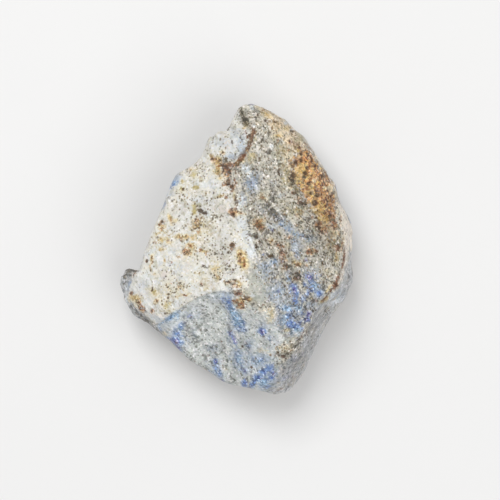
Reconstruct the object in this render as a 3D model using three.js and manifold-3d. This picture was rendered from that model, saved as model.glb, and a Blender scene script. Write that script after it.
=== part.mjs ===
// A piece of rough lapis lazuli, as broken from the rock and never cut or polished. It is one solid stone,
// which lies on a small flat spot on its back with its best side up.
// Millimetres, +Z up. The origin is on the surface that the stone lies on, under the middle of its bounding
// box.

import * as THREE from "three";
import { ImprovedNoise } from "three/addons/math/ImprovedNoise.js";
import { mergeVertices } from "three/addons/utils/BufferGeometryUtils.js";
import Module from "manifold-3d";

// The stone is about 40 wide, 49 long and 22 thick. The girdle sets its width and length, and the faces its
// thickness. These sizes set how finely it is drawn.
const ball = { width: 39.8, length: 50, height: 22.6 }; // the ball that is drawn out to the stone's shape
const ballShift = new THREE.Vector3(-0.5, 2, 2.6); // crowds its triangles towards the front
const meshDetail = 20; // divisions of the ball: 20 * (meshDetail + 1)^2 triangles

// How sharp the broken edges are.
const edgeRounding = 0.34; // how softly one broken face turns into the next
const smoothing = { passes: 2, share: 0.4 };

// Every point of the surface can be seen from the heart, so each face, wall and scar is a distance from it.
const heart = new THREE.Vector3(0, -2.1, 9.5);

// The girdle is the stone's widest line, all the way round: its outline from above, with its height at each
// point.
const girdlePoints = [
  // the blunt top end and the long curved edge on the right
  [2.2, 24.9, 12], [4.4, 24.4, 11], [6.6, 23.1, 10.5], [8.5, 22.1, 10], [10.8, 20, 9.5], [12.5, 17.9, 9],
  [13.9, 15.8, 8.5], [15.4, 13.4, 8], [16.9, 11.4, 7.5], [17.5, 8.8, 7], [18.7, 6, 6.5], [19.7, 3.5, 6],
  [19.8, 1.4, 5.5], [19.5, -2.4, 5.5], [19.9, -6, 5], [18.8, -8.4, 5],
  // the straight break at the lower right and the narrow bottom end
  [16.6, -11.1, 5], [14.7, -14.2, 5], [13.2, -17.3, 5], [12.3, -19.9, 5.5], [10.6, -22.5, 6],
  [8.7, -24.5, 6.5], [6.3, -25, 7], [3.4, -24.4, 8], [0.3, -23.7, 8.5], [-2.5, -23.1, 9],
  // the lower left edge, out to the lip at the far left
  [-5.2, -21.1, 9.5], [-8.3, -19.6, 9.5], [-10.2, -17.3, 10], [-12.9, -14.8, 9], [-15.5, -13.2, 8],
  [-18.1, -11.1, 7.5], [-19.4, -8.4, 7], [-20.4, -5.4, 7.5], [-19.5, -3.4, 8.5],
  // the thin left edge of the weathered face, with its corner, up to the boss
  [-17.2, -2.9, 12], [-16.2, -0.7, 13], [-14.6, 3.3, 13.5], [-12.8, 7.4, 13.5], [-11.7, 10.5, 13.5],
  [-10.9, 12.3, 13.5], [-8.6, 13.8, 13], [-6.4, 15.5, 13], [-5.5, 17.6, 13], [-3.8, 19.6, 12.5],
  [-1.3, 20.1, 12.5], [-0.3, 22.3, 12.5], [0.4, 24.6, 12.5],
];

const rimAllowance = 0.15; // what the rounding and the smoothing take off the girdle

// How far the rim's wall leans inwards for each mm above and below the girdle.
const wallLean = { up: 0.26, down: 0.12 };

// The broken faces. Each passes through a point and looks along an azimuth (0 is +X, 90 is +Y) and an
// elevation above the horizontal, both in degrees.
const faces = {
  // the front, which lies uppermost
  weathered: { through: [1.2, -6.3, 22.5], azimuth: 151, elevation: 68 },
  weatheredCorner: { through: [-8, -9, 19.4], azimuth: 200, elevation: 63 },
  banded: { through: [3.2, -0.3, 21.8], azimuth: 22, elevation: 59 },
  bandedFoot: { through: [4.9, -8.9, 21.4], azimuth: -48, elevation: 60 },
  sideBreak: { through: [12.9, -19.8, 5.5], azimuth: -32, elevation: 20 },
  sideBreakFoot: { through: [10.5, -24.9, 6.3], azimuth: -48, elevation: 30 },
  lipBreak: { through: [-15.9, -10.9, 15.2], azimuth: 225, elevation: 14 },
  knobBreak: { through: [-18.3, -5, 14], azimuth: 176, elevation: 24 },
  // the steep sides below the girdle
  lipEnd: { through: [-19.6, -5, 4], azimuth: 175, elevation: -42 },
  lipSide: { through: [-17.8, -11.2, 4.5], azimuth: 215, elevation: -40 },
  footLeft: { through: [-6.5, -19, 5.5], azimuth: 236, elevation: -33 },
  foot: { through: [2, -22.5, 4], azimuth: -95, elevation: -38 },
  lowerRightSide: { through: [14.5, -15, 2.8], azimuth: -28, elevation: -42 },
  rightSide: { through: [18.3, 0, 3], azimuth: 6, elevation: -48 },
  upperRightSide: { through: [13.2, 13.2, 4], azimuth: 44, elevation: -36 },
  topEnd: { through: [2, 21.2, 5.5], azimuth: 84, elevation: -40 },
  bossSide: { through: [-7.5, 14, 6.5], azimuth: 128, elevation: -30 },
  // the back, round the flat spot
  backLeft: { through: [-6.5, 0, 0], azimuth: 190, elevation: -68 },
  backFoot: { through: [-1.5, -8, 0], azimuth: 250, elevation: -70 },
  backLowerRight: { through: [3.5, -7.5, 0], azimuth: -60, elevation: -74 },
  backRight: { through: [7, 0, 0], azimuth: 10, elevation: -72 },
  backUpperRight: { through: [3.5, 6, 0], azimuth: 60, elevation: -68 },
  backUpperLeft: { through: [-3.5, 6, 0], azimuth: 120, elevation: -66 },
  underside: { through: [0, 0, -0.9], azimuth: 0, elevation: -90 },
};

// Shell-shaped scars where a flake came away: balls that bite into the stone.
const scars = [
  { centre: [-7.8, -27.3, 34.1], radius: 23.8 }, // the fresh break, with its arched upper edge
  { centre: [-25.5, 9, 1], radius: 14 },
  { centre: [-14, -21, -9], radius: 17.5 },
  { centre: [15, 17, -10], radius: 18.5 },
];

// Lumps, and pits where the height is negative.
const lumps = [
  { centre: [-20.2, -5.5, 8], radius: 2, height: 0.6 }, // the knob at the far left
  { centre: [-17.9, -1.9, 11.5], radius: 2, height: -1.9 }, // the notch above it
  { centre: [-2.6, 20, 12], radius: 1.5, height: -1 }, // the notch above the boss
];

// A low round boss at the upper left, with a groove along its lower right side. It fades out down the side of
// the stone, between the heights bottom and top.
const boss = {
  centre: [-1.9, 18.6],
  radius: 4.3,
  height: 1,
  grooveDepth: 0.8,
  grooveWidth: 0.8,
  bottom: 10,
  top: 13,
};

// Each face bends its own way, so that the ridges between faces wander.
const faceBend = { wavelength: 9, height: 1.1 };

// Unevenness of the broken faces.
const swells = [
  { wavelength: 6.5, height: 0.4 },
  { wavelength: 3.6, height: 0.34 },
];
const rimCalm = 0.25; // the share of that unevenness left at the girdle
const rimCalmHeight = 3; // how far above and below the girdle the calm reaches

// The rock is layered on edge, and breaks into low steps along its layers.
const layers = { azimuth: 32, spacing: 4.2, step: 0.34, climb: 0.65, waviness: 0.8 };

const noise = new ImprovedNoise();
const noiseAt = (p, wavelength, seed = 0) =>
  noise.noise(p.x / wavelength + seed, p.y / wavelength + 2 * seed, p.z / wavelength + 3 * seed);

// A unit vector from an azimuth and an elevation in degrees.
function bearing(azimuth, elevation = 0) {
  const a = THREE.MathUtils.degToRad(azimuth);
  const e = THREE.MathUtils.degToRad(elevation);
  return new THREE.Vector3(Math.cos(a) * Math.cos(e), Math.sin(a) * Math.cos(e), Math.sin(e));
}

// The girdle's reach from the heart's axis, and its height, at any angle.
function makeGirdle() {
  const curve = new THREE.CatmullRomCurve3(
    girdlePoints.map((p) => new THREE.Vector3(...p)), true, "centripetal");
  const samples = curve.getPoints(1440).slice(0, -1).map((p) => ({
    angle: Math.atan2(p.y - heart.y, p.x - heart.x),
    reach: Math.hypot(p.x - heart.x, p.y - heart.y),
    height: p.z,
  }));
  samples.sort((a, b) => a.angle - b.angle);
  return (angle) => {
    let next = samples.findIndex((s) => s.angle > angle);
    if (next < 0) next = 0;
    const b = samples[next];
    const a = samples[(next + samples.length - 1) % samples.length];
    const turn = (from, to) => THREE.MathUtils.euclideanModulo(to - from, 2 * Math.PI);
    const share = turn(a.angle, angle) / Math.max(turn(a.angle, b.angle), 1e-9);
    return {
      reach: THREE.MathUtils.lerp(a.reach, b.reach, share),
      height: THREE.MathUtils.lerp(a.height, b.height, share),
    };
  };
}

const girdle = makeGirdle();

const planes = Object.values(faces).map(({ through, azimuth, elevation }) => {
  const normal = bearing(azimuth, elevation);
  return { normal, offset: normal.dot(new THREE.Vector3(...through).sub(heart)) };
});

// How far a ray from the heart goes before it leaves through each face, the rim's wall and each scar.
function exits(direction) {
  const found = [];
  planes.forEach(({ normal, offset }, i) => {
    const closing = normal.dot(direction);
    if (closing < 1e-4) return;
    const where = direction.clone().multiplyScalar(offset / closing);
    const bend = faceBend.height * noiseAt(where, faceBend.wavelength, 3.7 * (i + 1));
    found.push((offset + bend) / closing);
  });
  const flat = Math.hypot(direction.x, direction.y);
  const rim = girdle(Math.atan2(direction.y, direction.x));
  const reach = rim.reach + rimAllowance;
  const drop = heart.z - rim.height;
  const above = flat + wallLean.up * direction.z;
  const below = flat - wallLean.down * direction.z;
  if (above > 1e-4) found.push((reach - wallLean.up * drop) / above);
  if (below > 1e-4) found.push((reach + wallLean.down * drop) / below);
  for (const { centre, radius } of scars) {
    const toCentre = new THREE.Vector3(...centre).sub(heart);
    const along = toCentre.dot(direction);
    const inside = along * along - toCentre.lengthSq() + radius * radius;
    if (along > 0 && inside > 0) found.push(along - Math.sqrt(inside));
  }
  return found;
}

// The nearest exit wins, with the edge between two of them rounded.
function softNearest(distances) {
  const nearest = Math.min(...distances);
  const sum = distances.reduce((total, d) => total + Math.exp((nearest - d) / edgeRounding), 0);
  return nearest - edgeRounding * Math.log(sum);
}

// Height of the broken surface above its plain face at a point.
function relief(p) {
  const rimHeight = girdle(Math.atan2(p.y - heart.y, p.x - heart.x)).height;
  const toRim = Math.abs(p.z - rimHeight) / rimCalmHeight;
  const calm = THREE.MathUtils.lerp(rimCalm, 1, THREE.MathUtils.smoothstep(toRim, 0, 1));
  let height = 0;
  swells.forEach((swell, i) => {
    height += swell.height * noiseAt(p, swell.wavelength, 11.3 * (i + 1));
  });
  const across = bearing(layers.azimuth).dot(p) / layers.spacing + layers.waviness * noiseAt(p, 6, 5.1);
  const share = THREE.MathUtils.euclideanModulo(across, 1);
  const climbed = share < layers.climb ? share / layers.climb : (1 - share) / (1 - layers.climb);
  height += layers.step * (climbed - 0.5);
  return calm * height + bossHeight(p) + lumpHeight(p);
}

function lumpHeight(p) {
  let height = 0;
  for (const lump of lumps) {
    const out = p.distanceTo(new THREE.Vector3(...lump.centre)) / lump.radius;
    height += lump.height * Math.exp(-out * out);
  }
  return height;
}

function bossHeight(p) {
  const share = THREE.MathUtils.smoothstep(p.z, boss.bottom, boss.top);
  const away = new THREE.Vector2(p.x - boss.centre[0], p.y - boss.centre[1]);
  const out = away.length() / boss.radius;
  const dome = out < 1 ? boss.height * (1 - out * out) : 0;
  const fromGroove = (away.length() - boss.radius) / boss.grooveWidth;
  const lowerRight = THREE.MathUtils.smoothstep(away.x - 0.6 * away.y, -1, 3);
  return share * (dome - boss.grooveDepth * lowerRight * Math.exp(-fromGroove * fromGroove));
}

// The ball's vertices are moved out along their own rays to the plain faces, smoothed, and then moved by the
// relief.
function makeRoughStone() {
  const start = new THREE.IcosahedronGeometry(1, meshDetail);
  start.deleteAttribute("normal");
  start.deleteAttribute("uv");
  const geometry = mergeVertices(start, 1e-5);
  const spread = new THREE.Vector3(ball.width, ball.length, ball.height).divideScalar(2);
  moveEach(geometry, (p) => {
    const direction = p.multiply(spread).add(ballShift).normalize();
    return direction.multiplyScalar(softNearest(exits(direction))).add(heart);
  });
  smooth(geometry);
  moveEach(geometry, (p) => {
    const direction = p.clone().sub(heart).normalize();
    return p.addScaledVector(direction, relief(p));
  });
  return geometry;
}

function moveEach(geometry, move) {
  const at = geometry.attributes.position;
  const p = new THREE.Vector3();
  for (let i = 0; i < at.count; i++) {
    p.copy(move(p.fromBufferAttribute(at, i)));
    at.setXYZ(i, p.x, p.y, p.z);
  }
}

// Draws each vertex towards the middle of its neighbours, which evens out the crests.
function smooth(geometry) {
  const at = geometry.attributes.position;
  const corners = geometry.index.array;
  const neighbours = Array.from({ length: at.count }, () => new Set());
  for (let i = 0; i < corners.length; i += 3) {
    const [a, b, c] = corners.subarray(i, i + 3);
    neighbours[a].add(b).add(c);
    neighbours[b].add(c).add(a);
    neighbours[c].add(a).add(b);
  }
  const p = new THREE.Vector3();
  const middle = new THREE.Vector3();
  for (let pass = 0; pass < smoothing.passes; pass++) {
    const before = at.clone();
    neighbours.forEach((ring, i) => {
      middle.set(0, 0, 0);
      for (const j of ring) middle.add(p.fromBufferAttribute(before, j));
      middle.divideScalar(ring.size);
      p.fromBufferAttribute(before, i).lerp(middle, smoothing.share);
      at.setXYZ(i, p.x, p.y, p.z);
    });
  }
}

const wasm = await Module();
wasm.setup();

function toSolid(geometry) {
  const plain = new THREE.BufferGeometry().setAttribute("position", geometry.getAttribute("position"));
  if (geometry.index) plain.setIndex(geometry.index);
  const merged = mergeVertices(plain, 1e-4);
  return new wasm.Manifold(new wasm.Mesh({
    numProp: 3,
    vertProperties: merged.attributes.position.array,
    triVerts: new Uint32Array(merged.index.array),
  }));
}

function toGeometry(solid) {
  const mesh = solid.getMesh();
  const geometry = new THREE.BufferGeometry();
  geometry.setAttribute("position", new THREE.BufferAttribute(new Float32Array(mesh.vertProperties), 3));
  geometry.setIndex(new THREE.BufferAttribute(new Uint32Array(mesh.triVerts), 1));
  return geometry;
}

// The flat spot: whatever would reach below the surface is cut off level with it.
function cutFlatSpot(geometry) {
  const depth = 10;
  const ground = new THREE.BoxGeometry(2 * ball.width, 2 * ball.length, depth).translate(0, 0, -depth / 2);
  return toGeometry(toSolid(geometry).subtract(toSolid(ground)));
}

function makeStone() {
  const geometry = cutFlatSpot(makeRoughStone());
  geometry.computeBoundingBox();
  const middle = geometry.boundingBox.getCenter(new THREE.Vector3());
  geometry.translate(-middle.x, -middle.y, 0);
  geometry.computeVertexNormals();
  const material = new THREE.MeshStandardMaterial({ color: 0xb4b5b0, roughness: 0.75, metalness: 0 });
  const stone = new THREE.Mesh(geometry, material);
  stone.name = "lapis_stone";
  return stone;
}

const part = new THREE.Group();
part.add(makeStone());

export default part;
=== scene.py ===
# A piece of rough lapis lazuli that lies on its back: its surface, its stains and its blue streaks.
# Object sizes below are in millimetres, and the finished mesh is in metres.
import math

import bmesh
import bpy
import numpy as np
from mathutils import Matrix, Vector, noise


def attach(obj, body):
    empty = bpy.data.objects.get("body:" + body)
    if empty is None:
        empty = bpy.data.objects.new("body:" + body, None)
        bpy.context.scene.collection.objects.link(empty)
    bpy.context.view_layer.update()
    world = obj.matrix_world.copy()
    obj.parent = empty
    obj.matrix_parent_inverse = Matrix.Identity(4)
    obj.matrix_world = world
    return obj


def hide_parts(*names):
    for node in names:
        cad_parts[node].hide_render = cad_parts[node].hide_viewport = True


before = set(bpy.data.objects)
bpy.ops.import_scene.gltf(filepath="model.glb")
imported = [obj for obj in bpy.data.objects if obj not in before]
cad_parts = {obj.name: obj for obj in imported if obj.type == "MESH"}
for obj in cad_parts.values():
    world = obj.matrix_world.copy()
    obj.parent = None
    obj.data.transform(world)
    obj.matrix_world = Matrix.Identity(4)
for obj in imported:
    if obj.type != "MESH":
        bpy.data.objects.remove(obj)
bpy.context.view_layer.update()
print("frame loaded:", sorted(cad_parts))


def fromScreen(red, green, blue, gain=1.0):
    # a colour as it looks on a screen, 0 to 255, made linear
    return tuple(gain * (c / 255 / 12.92 if c < 11 else ((c / 255 + 0.055) / 1.055) ** 2.4)
                 for c in (red, green, blue)) + (1.0,)


def place(tree, kind, inputs=None, **settings):
    # adds a node, sets it up and joins or fills its inputs
    node = tree.nodes.new(kind)
    for name, value in settings.items():
        setattr(node, name, value)
    for name, value in (inputs or {}).items():
        if isinstance(value, bpy.types.NodeSocket):
            tree.links.new(value, node.inputs[name])
        else:
            node.inputs[name].default_value = value
    return node


def sums(tree, operation, *values):
    # one step of arithmetic
    return place(tree, "ShaderNodeMath", dict(enumerate(values)), operation=operation).outputs[0]


def chained(tree, operation, *parts):
    # one operation over several values in turn
    result = parts[0]
    for part in parts[1:]:
        result = sums(tree, operation, result, part)
    return result


def ramped(tree, value, low, high, start=0.0, end=1.0):
    # a smooth step from low to high
    node = place(tree, "ShaderNodeMapRange",
                 {"Value": value, "From Min": low, "From Max": high, "To Min": start, "To Max": end},
                 interpolation_type="SMOOTHSTEP")
    return node.outputs[0]


def cloud(tree, spot, scale, detail=3.0, roughness=0.55, distortion=0.0):
    node = place(tree, "ShaderNodeTexNoise",
                 {"Vector": spot, "Scale": scale, "Detail": detail, "Roughness": roughness,
                  "Distortion": distortion})
    return node.outputs[0]


def cells(tree, spot, scale):
    return place(tree, "ShaderNodeTexVoronoi", {"Vector": spot, "Scale": scale})


# camera, light and floor, in millimetres
studio = {
    "picture": 500,  # pixels along the picture's side
    "pixel": 0.1718,  # mm of the stone for each pixel
    "middle": (13.7, -1.8),  # how far, in pixels, the picture's middle is from the stone's
    "sensor": 36,
    "cameraHeight": 700,
    "stoneTop": 8,  # the height that the scale above holds at
    "skyStrength": 0.5,
    "keyPower": 1.75,
    "keySize": 300,
    "keyPlace": (-150, 260, 520),
    "fillPower": 1.2,
    "fillSize": 500,
    "fillPlace": (260, -200, 480),
    "lampColour": (1.0, 0.995, 0.985),
    "floorSide": 6000,
    "floorColour": (232, 232, 232),
}


def addLamp(name, power, size, spot, colour):
    lamp = bpy.data.lights.new(name, "AREA")
    lamp.energy = power
    lamp.size = size / 1000
    lamp.color = colour
    holder = bpy.data.objects.new(name, lamp)
    holder.location = Vector(spot) / 1000
    holder.rotation_euler = (-holder.location).to_track_quat("-Z", "Y").to_euler()
    bpy.context.scene.collection.objects.link(holder)


def makeStudio(values):
    scene = bpy.context.scene
    scene.view_settings.view_transform = "Standard"
    pixel = values["pixel"] / 1000
    lens = bpy.data.cameras.new("camera")
    lens.sensor_width = values["sensor"]
    lens.lens = values["sensor"] * values["cameraHeight"] / (values["picture"] * values["pixel"])
    lens.clip_start = 0.01
    camera = bpy.data.objects.new("camera", lens)
    camera.location = (values["middle"][0] * pixel, values["middle"][1] * pixel,
                       (values["cameraHeight"] + values["stoneTop"]) / 1000)
    scene.collection.objects.link(camera)
    scene.camera = camera

    sky = bpy.data.worlds.new("sky")
    sky.use_nodes = True
    background = sky.node_tree.nodes["Background"]
    background.inputs["Color"].default_value = (1, 1, 1, 1)
    background.inputs["Strength"].default_value = values["skyStrength"]
    scene.world = sky
    for name in ("key", "fill"):
        addLamp(name + "Light", values[name + "Power"], values[name + "Size"], values[name + "Place"],
                values["lampColour"])

    half = values["floorSide"] / 2000
    ground = bpy.data.meshes.new("floor")
    corners = [(-half, -half, 0), (half, -half, 0), (half, half, 0), (-half, half, 0)]
    ground.from_pydata(corners, [], [(0, 1, 2, 3)])
    floor = bpy.data.objects.new("floor", ground)
    scene.collection.objects.link(floor)
    paint = bpy.data.materials.new("palePaper")
    paint.use_nodes = True
    tree = paint.node_tree
    shader = tree.nodes["Principled BSDF"]
    shader.inputs["Roughness"].default_value = 0.9
    shader.inputs["Specular IOR Level"].default_value = 0.1
    spot = place(tree, "ShaderNodeTexCoord").outputs["Object"]
    speck = cloud(tree, spot, 60.0, 2.0)
    pale = fromScreen(*values["floorColour"])
    darker = tuple(c * 0.99 for c in pale[:3]) + (1,)
    tint = place(tree, "ShaderNodeMix", {0: speck, 6: pale, 7: darker}, data_type="RGBA")
    tree.links.new(tint.outputs[2], shader.inputs["Base Color"])
    ground.materials.append(paint)


makeStudio(studio)
print("camera, light and floor are in place")

layerBearing = 32.0  # the bearing in degrees of the layers, which stand on edge

# edges that kinds of rock share, seen from above: each point x, y
archEdge = [
    (0.0, -7.3), (-1.5, -7.3), (-3.0, -7.2), (-4.2, -7.5), (-6.0, -8.1), (-7.7, -8.9), (-9.2, -10.0),
    (-10.3, -10.9), (-11.5, -11.7), (-13.0, -12.7),
]
lipEdge = [
    (-17.9, -5.0), (-18.3, -6.0), (-18.6, -7.4), (-18.2, -8.6), (-17.2, -9.9), (-16.0, -10.9),
    (-15.0, -11.7),
]

# where each kind of rock lies on the front: outlines seen from above
outlines = {
    # the white weathered face and the boss at its upper end
    "chalk": [
        (0.3, 24.2), (0.9, 22.4), (1.0, 21.2), (2.0, 20.3), (2.4, 19.2), (2.2, 17.8), (1.7, 16.6),
        (0.9, 15.6), (0.2, 14.9), (-0.4, 14.0), (-0.3, 12.5), (-0.2, 11.0), (-0.1, 9.0), (0.2, 7.5),
        (1.2, 6.0), (1.6, 4.8), (2.2, 3.2), (2.6, 1.5), (3.3, -0.3), (3.0, -1.8), (2.2, -3.4), (1.9, -5.0),
        (2.0, -6.6), (1.2, -7.2), *archEdge, (-13.7, -13.1), *lipEdge[::-1], (-17.4, -3.4), (-19.0, -1.0),
        (-17.0, 3.0), (-15.0, 9.0), (-13.5, 13.5), (-9.0, 17.0), (-7.0, 20.0), (-4.0, 22.0), (-1.5, 23.5),
    ],
    # the grey break under the arched edge
    "fresh": [
        (1.6, -7.6), *archEdge, (-14.2, -13.4), (-15.0, -17.0), (-12.0, -24.0), (0.0, -28.0), (8.0, -27.0),
        (7.0, -21.0), (7.6, -18.0), (8.4, -15.5), (7.6, -13.0), (5.6, -11.4), (3.6, -10.4), (2.4, -9.4),
    ],
    # the smooth side at the lower right
    "lowerSide": [
        (15.4, -9.0), (14.2, -9.6), (13.3, -10.4), (12.9, -12.4), (12.0, -14.2), (11.2, -15.6),
        (10.2, -17.2), (9.2, -18.6), (7.8, -19.8), (7.0, -21.2), (6.2, -22.8), (5.4, -24.3), (5.0, -27.0),
        (22.0, -27.0), (26.0, -10.0), (26.0, 0.0), (18.9, -0.6), (18.7, -3.0), (18.1, -4.4), (17.6, -6.6),
        (16.4, -7.6),
    ],
    # the side under the lip at the left
    "lipSide": [
        (-17.2, -3.3), (-17.9, -5.0), (-18.4, -6.0), (-18.7, -7.4), (-18.3, -8.7), (-17.3, -10.0),
        (-16.1, -11.0), (-15.1, -11.9), (-13.9, -13.2), (-12.4, -14.6), (-11.6, -16.0), (-16.0, -22.0),
        (-26.0, -12.0), (-24.0, 0.0), (-18.0, -1.0),
    ],
    # the thin pale side along the right edge
    "rightSide": [
        (9.0, 20.9), (10.4, 20.1), (11.9, 18.4), (13.2, 16.5), (14.0, 14.8), (15.3, 13.2), (16.4, 11.7),
        (17.0, 10.0), (17.3, 8.0), (17.7, 6.4), (17.9, 4.5), (18.2, 2.5), (18.5, 0.5), (18.4, -1.0),
        (18.3, -3.0), (17.8, -4.4), (17.4, -6.0), (18.0, -5.6), (18.6, -3.6), (19.2, -0.4), (26.0, 0.0),
        (26.0, 6.0), (18.0, 26.0), (9.0, 24.0),
    ],
    # the orange field
    "ochreField": [
        (9.7, 14.8), (9.8, 13.5), (10.1, 12.3), (10.3, 11.3), (10.8, 10.2), (11.4, 9.3), (11.9, 8.3),
        (12.6, 7.5), (13.2, 6.6), (13.7, 5.7), (14.4, 4.9), (15.2, 4.3), (16.0, 4.2), (16.6, 5.2),
        (16.8, 6.8), (16.9, 8.2), (16.6, 9.8), (16.3, 11.0), (15.8, 11.9), (15.0, 12.8), (14.1, 13.8),
        (13.3, 15.2), (12.6, 16.4), (11.9, 17.0), (11.3, 16.8), (10.6, 16.0),
    ],
    # the cream and peach rim at the upper right
    "peachRim": [
        (3.4, 24.8), (4.2, 23.3), (5.0, 22.2), (5.6, 21.0), (6.0, 19.8), (7.2, 19.2), (8.4, 18.4),
        (9.2, 17.0), (10.4, 16.2), (11.4, 17.6), (11.0, 18.9), (10.4, 19.8), (9.4, 20.9), (8.0, 22.0),
        (6.4, 23.2), (4.6, 24.6),
    ],
    # the calm pale grey patch in the middle
    "calm": [
        (2.2, -3.4), (3.4, -3.8), (4.6, -5.2), (5.6, -6.6), (5.6, -8.2), (4.6, -9.4), (3.0, -8.8),
        (2.0, -7.4), (1.6, -6.0),
    ],
}


def gapTo(x, y, ax, ay, bx, by):
    # distance from the straight piece between two points
    share = ((x - ax) * (bx - ax) + (y - ay) * (by - ay)) / ((bx - ax) ** 2 + (by - ay) ** 2)
    share = np.clip(share, 0, 1)
    return np.hypot(x - ax - share * (bx - ax), y - ay - share * (by - ay))


def depthInside(points, outline):
    # how far inside an outline each point is, seen from above; less than nothing outside
    inside = np.zeros(len(points), bool)
    nearest = np.full(len(points), 1e9)
    x, y = points[:, 0], points[:, 1]
    for (ax, ay), (bx, by) in zip(outline, outline[1:] + outline[:1]):
        nearest = np.minimum(nearest, gapTo(x, y, ax, ay, bx, by))
        if ay != by:
            inside ^= ((ay > y) != (by > y)) & (x < ax + (y - ay) / (by - ay) * (bx - ax))
    return np.where(inside, nearest, -nearest)


def besidePath(points, path):
    # distance from an open path seen from above, more than nothing on the left of its travel
    nearest = np.full(len(points), 1e9)
    side = np.ones(len(points))
    x, y = points[:, 0], points[:, 1]
    for (ax, ay), (bx, by) in zip(path, path[1:]):
        gap = gapTo(x, y, ax, ay, bx, by)
        turn = (bx - ax) * (y - ay) - (by - ay) * (x - ax)
        closer = gap < nearest
        side[closer] = np.sign(turn[closer])
        nearest = np.minimum(nearest, gap)
    return nearest * side


def stepUp(value, low, high):
    share = np.clip((value - low) / (high - low), 0, 1)
    return share * share * (3 - 2 * share)


def noiseAt(points, wavelength, shift):
    away = Vector((shift, 2 * shift, -shift))
    return np.array([noise.noise(Vector(p) / wavelength + away) for p in points.tolist()])


def nearSpot(points, x, y, reach):
    # 1 at a place seen from above, falling off round it
    return np.exp(-((points[:, 0] - x) ** 2 + (points[:, 1] - y) ** 2) / reach ** 2)


# the stone's surface: how the coarse shape is smoothed, chipped, stepped and grooved
surface = {
    "cell": 0.24,  # size of the fine mesh's cells
    "facetPasses": 19,  # smoothing that takes away the coarse mesh's facets
    "ridgePasses": 42,  # smoothing that the ridges are measured against
    "ridgeKeep": 0.9,  # how much the ridges are raised again
    "ridgeRange": (-0.4, 0.25),  # the deepest hollow and the highest ridge that count
    "chipDepth": 0.45,
    "chipSize": 1.5,
    "archStep": 0.3,  # the drop from the white face to the grey break
    "archFade": 4.0,
    "rimStep": 0.22,
    "rimFade": 3.0,
    "lipStep": 0.22,
    "lipFade": 2.0,
    # grooves along the paths below: depth, less than nothing for a raised line, and width
    "grooves": {
        "bossGroove": (0.5, 0.36), "bossEdge": (0.3, 0.216), "tipHollow": (0.4, 0.432),
        "rimCrack": (0.32, 0.2), "browLine": (0.32, 0.2), "creamVein": (-0.22, 0.16),
    },
    # brown lines along them: width
    "brownLines": {"bossGroove": 0.26, "bossEdge": 0.14, "rimCrack": 0.17, "browLine": 0.14},
    # where creases are smoothed away: x, y, reach, share
    "eased": [(-16.3, -6.4, 1.6, 0.9), (-15.6, -8.2, 1.6, 0.9), (-14.8, -9.8, 1.4, 0.7)],
    # small pushes in or out at the rim, seen from above: x, y, reach, push
    "trims": [
        (-17.3, -3.0, 0.9, -1.0), (-20.0, -5.2, 1.2, -0.3), (-19.0, -9.0, 1.2, 0.35),
        (-17.6, -11.2, 1.4, 0.3), (-12.0, -15.8, 2.2, 0.2), (-0.6, 22.4, 1.5, 0.5), (0.4, 24.2, 1.2, 0.35),
        (5.0, 24.0, 2.2, -0.3), (8.8, 22.0, 2.4, -0.3), (10.2, 20.6, 1.4, -0.45), (12.6, 18.0, 2.4, -0.25),
        (14.6, 14.4, 1.6, -0.3), (16.4, 12.2, 1.6, -0.35), (17.3, 9.2, 2.2, -0.3), (6.4, -25.0, 1.5, 0.45),
        (8.9, -24.6, 1.5, 0.25),
    ],
}

# paths along the surface, seen from above
paths = {
    "bossGroove": [
        (2.9, 20.3), (2.9, 19.6), (2.55, 18.8), (2.4, 18.0), (2.15, 17.1), (1.75, 16.4), (1.3, 15.8),
        (0.8, 15.2), (0.2, 14.7), (-0.6, 14.35), (-2.2, 14.3), (-3.1, 14.7), (-4.1, 15.3),
    ],
    "bossEdge": [(1.5, 20.0), (1.9, 18.9), (2.1, 17.8), (1.8, 16.9), (1.1, 16.0), (0.2, 15.2), (-0.8, 14.9)],
    "tipHollow": [(0.9, 23.4), (1.2, 22.6), (1.5, 21.6), (1.9, 21.0)],
    "arch": [(1.2, -7.5), *archEdge, (-14.0, -13.3)],
    "rimCrack": [
        (18.1, 1.4), (18.6, -0.6), (18.4, -2.6), (17.7, -4.2), (17.4, -5.6), (16.7, -6.6), (15.8, -7.6),
        (14.7, -9.1),
    ],
    "lip": [(-17.1, -3.2), *lipEdge, (-13.7, -13.1)],
    "creamVein": [(9.6, 6.7), (10.2, 5.9), (10.9, 5.1), (11.8, 4.3)],
    "browLine": [(6.6, -18.2), (7.6, -18.3), (8.5, -18.7), (9.4, -18.5)],
}


def relaxed(points, edges, passes):
    # moves every point halfway towards its neighbours, over and over
    count = np.bincount(edges.ravel(), minlength=len(points))[:, None]
    for _ in range(passes):
        pulled = np.stack([
            np.bincount(edges[:, 0], points[edges[:, 1], axis], minlength=len(points))
            + np.bincount(edges[:, 1], points[edges[:, 0], axis], minlength=len(points))
            for axis in range(3)], axis=1)
        points = points + 0.5 * (pulled / count - points)
    return points


def readVectors(items, name):
    flat = np.empty(len(items) * 3, np.float32)
    items.foreach_get(name, flat)
    return flat.reshape(-1, 3).astype(float)


def readPoints(mesh):
    return readVectors(mesh.vertices, "co")


def writePoints(mesh, points):
    mesh.vertices.foreach_set("co", points.astype(np.float32).ravel())
    mesh.update()


def readNormals(mesh):
    return readVectors(mesh.vertex_normals, "vector")


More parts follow.
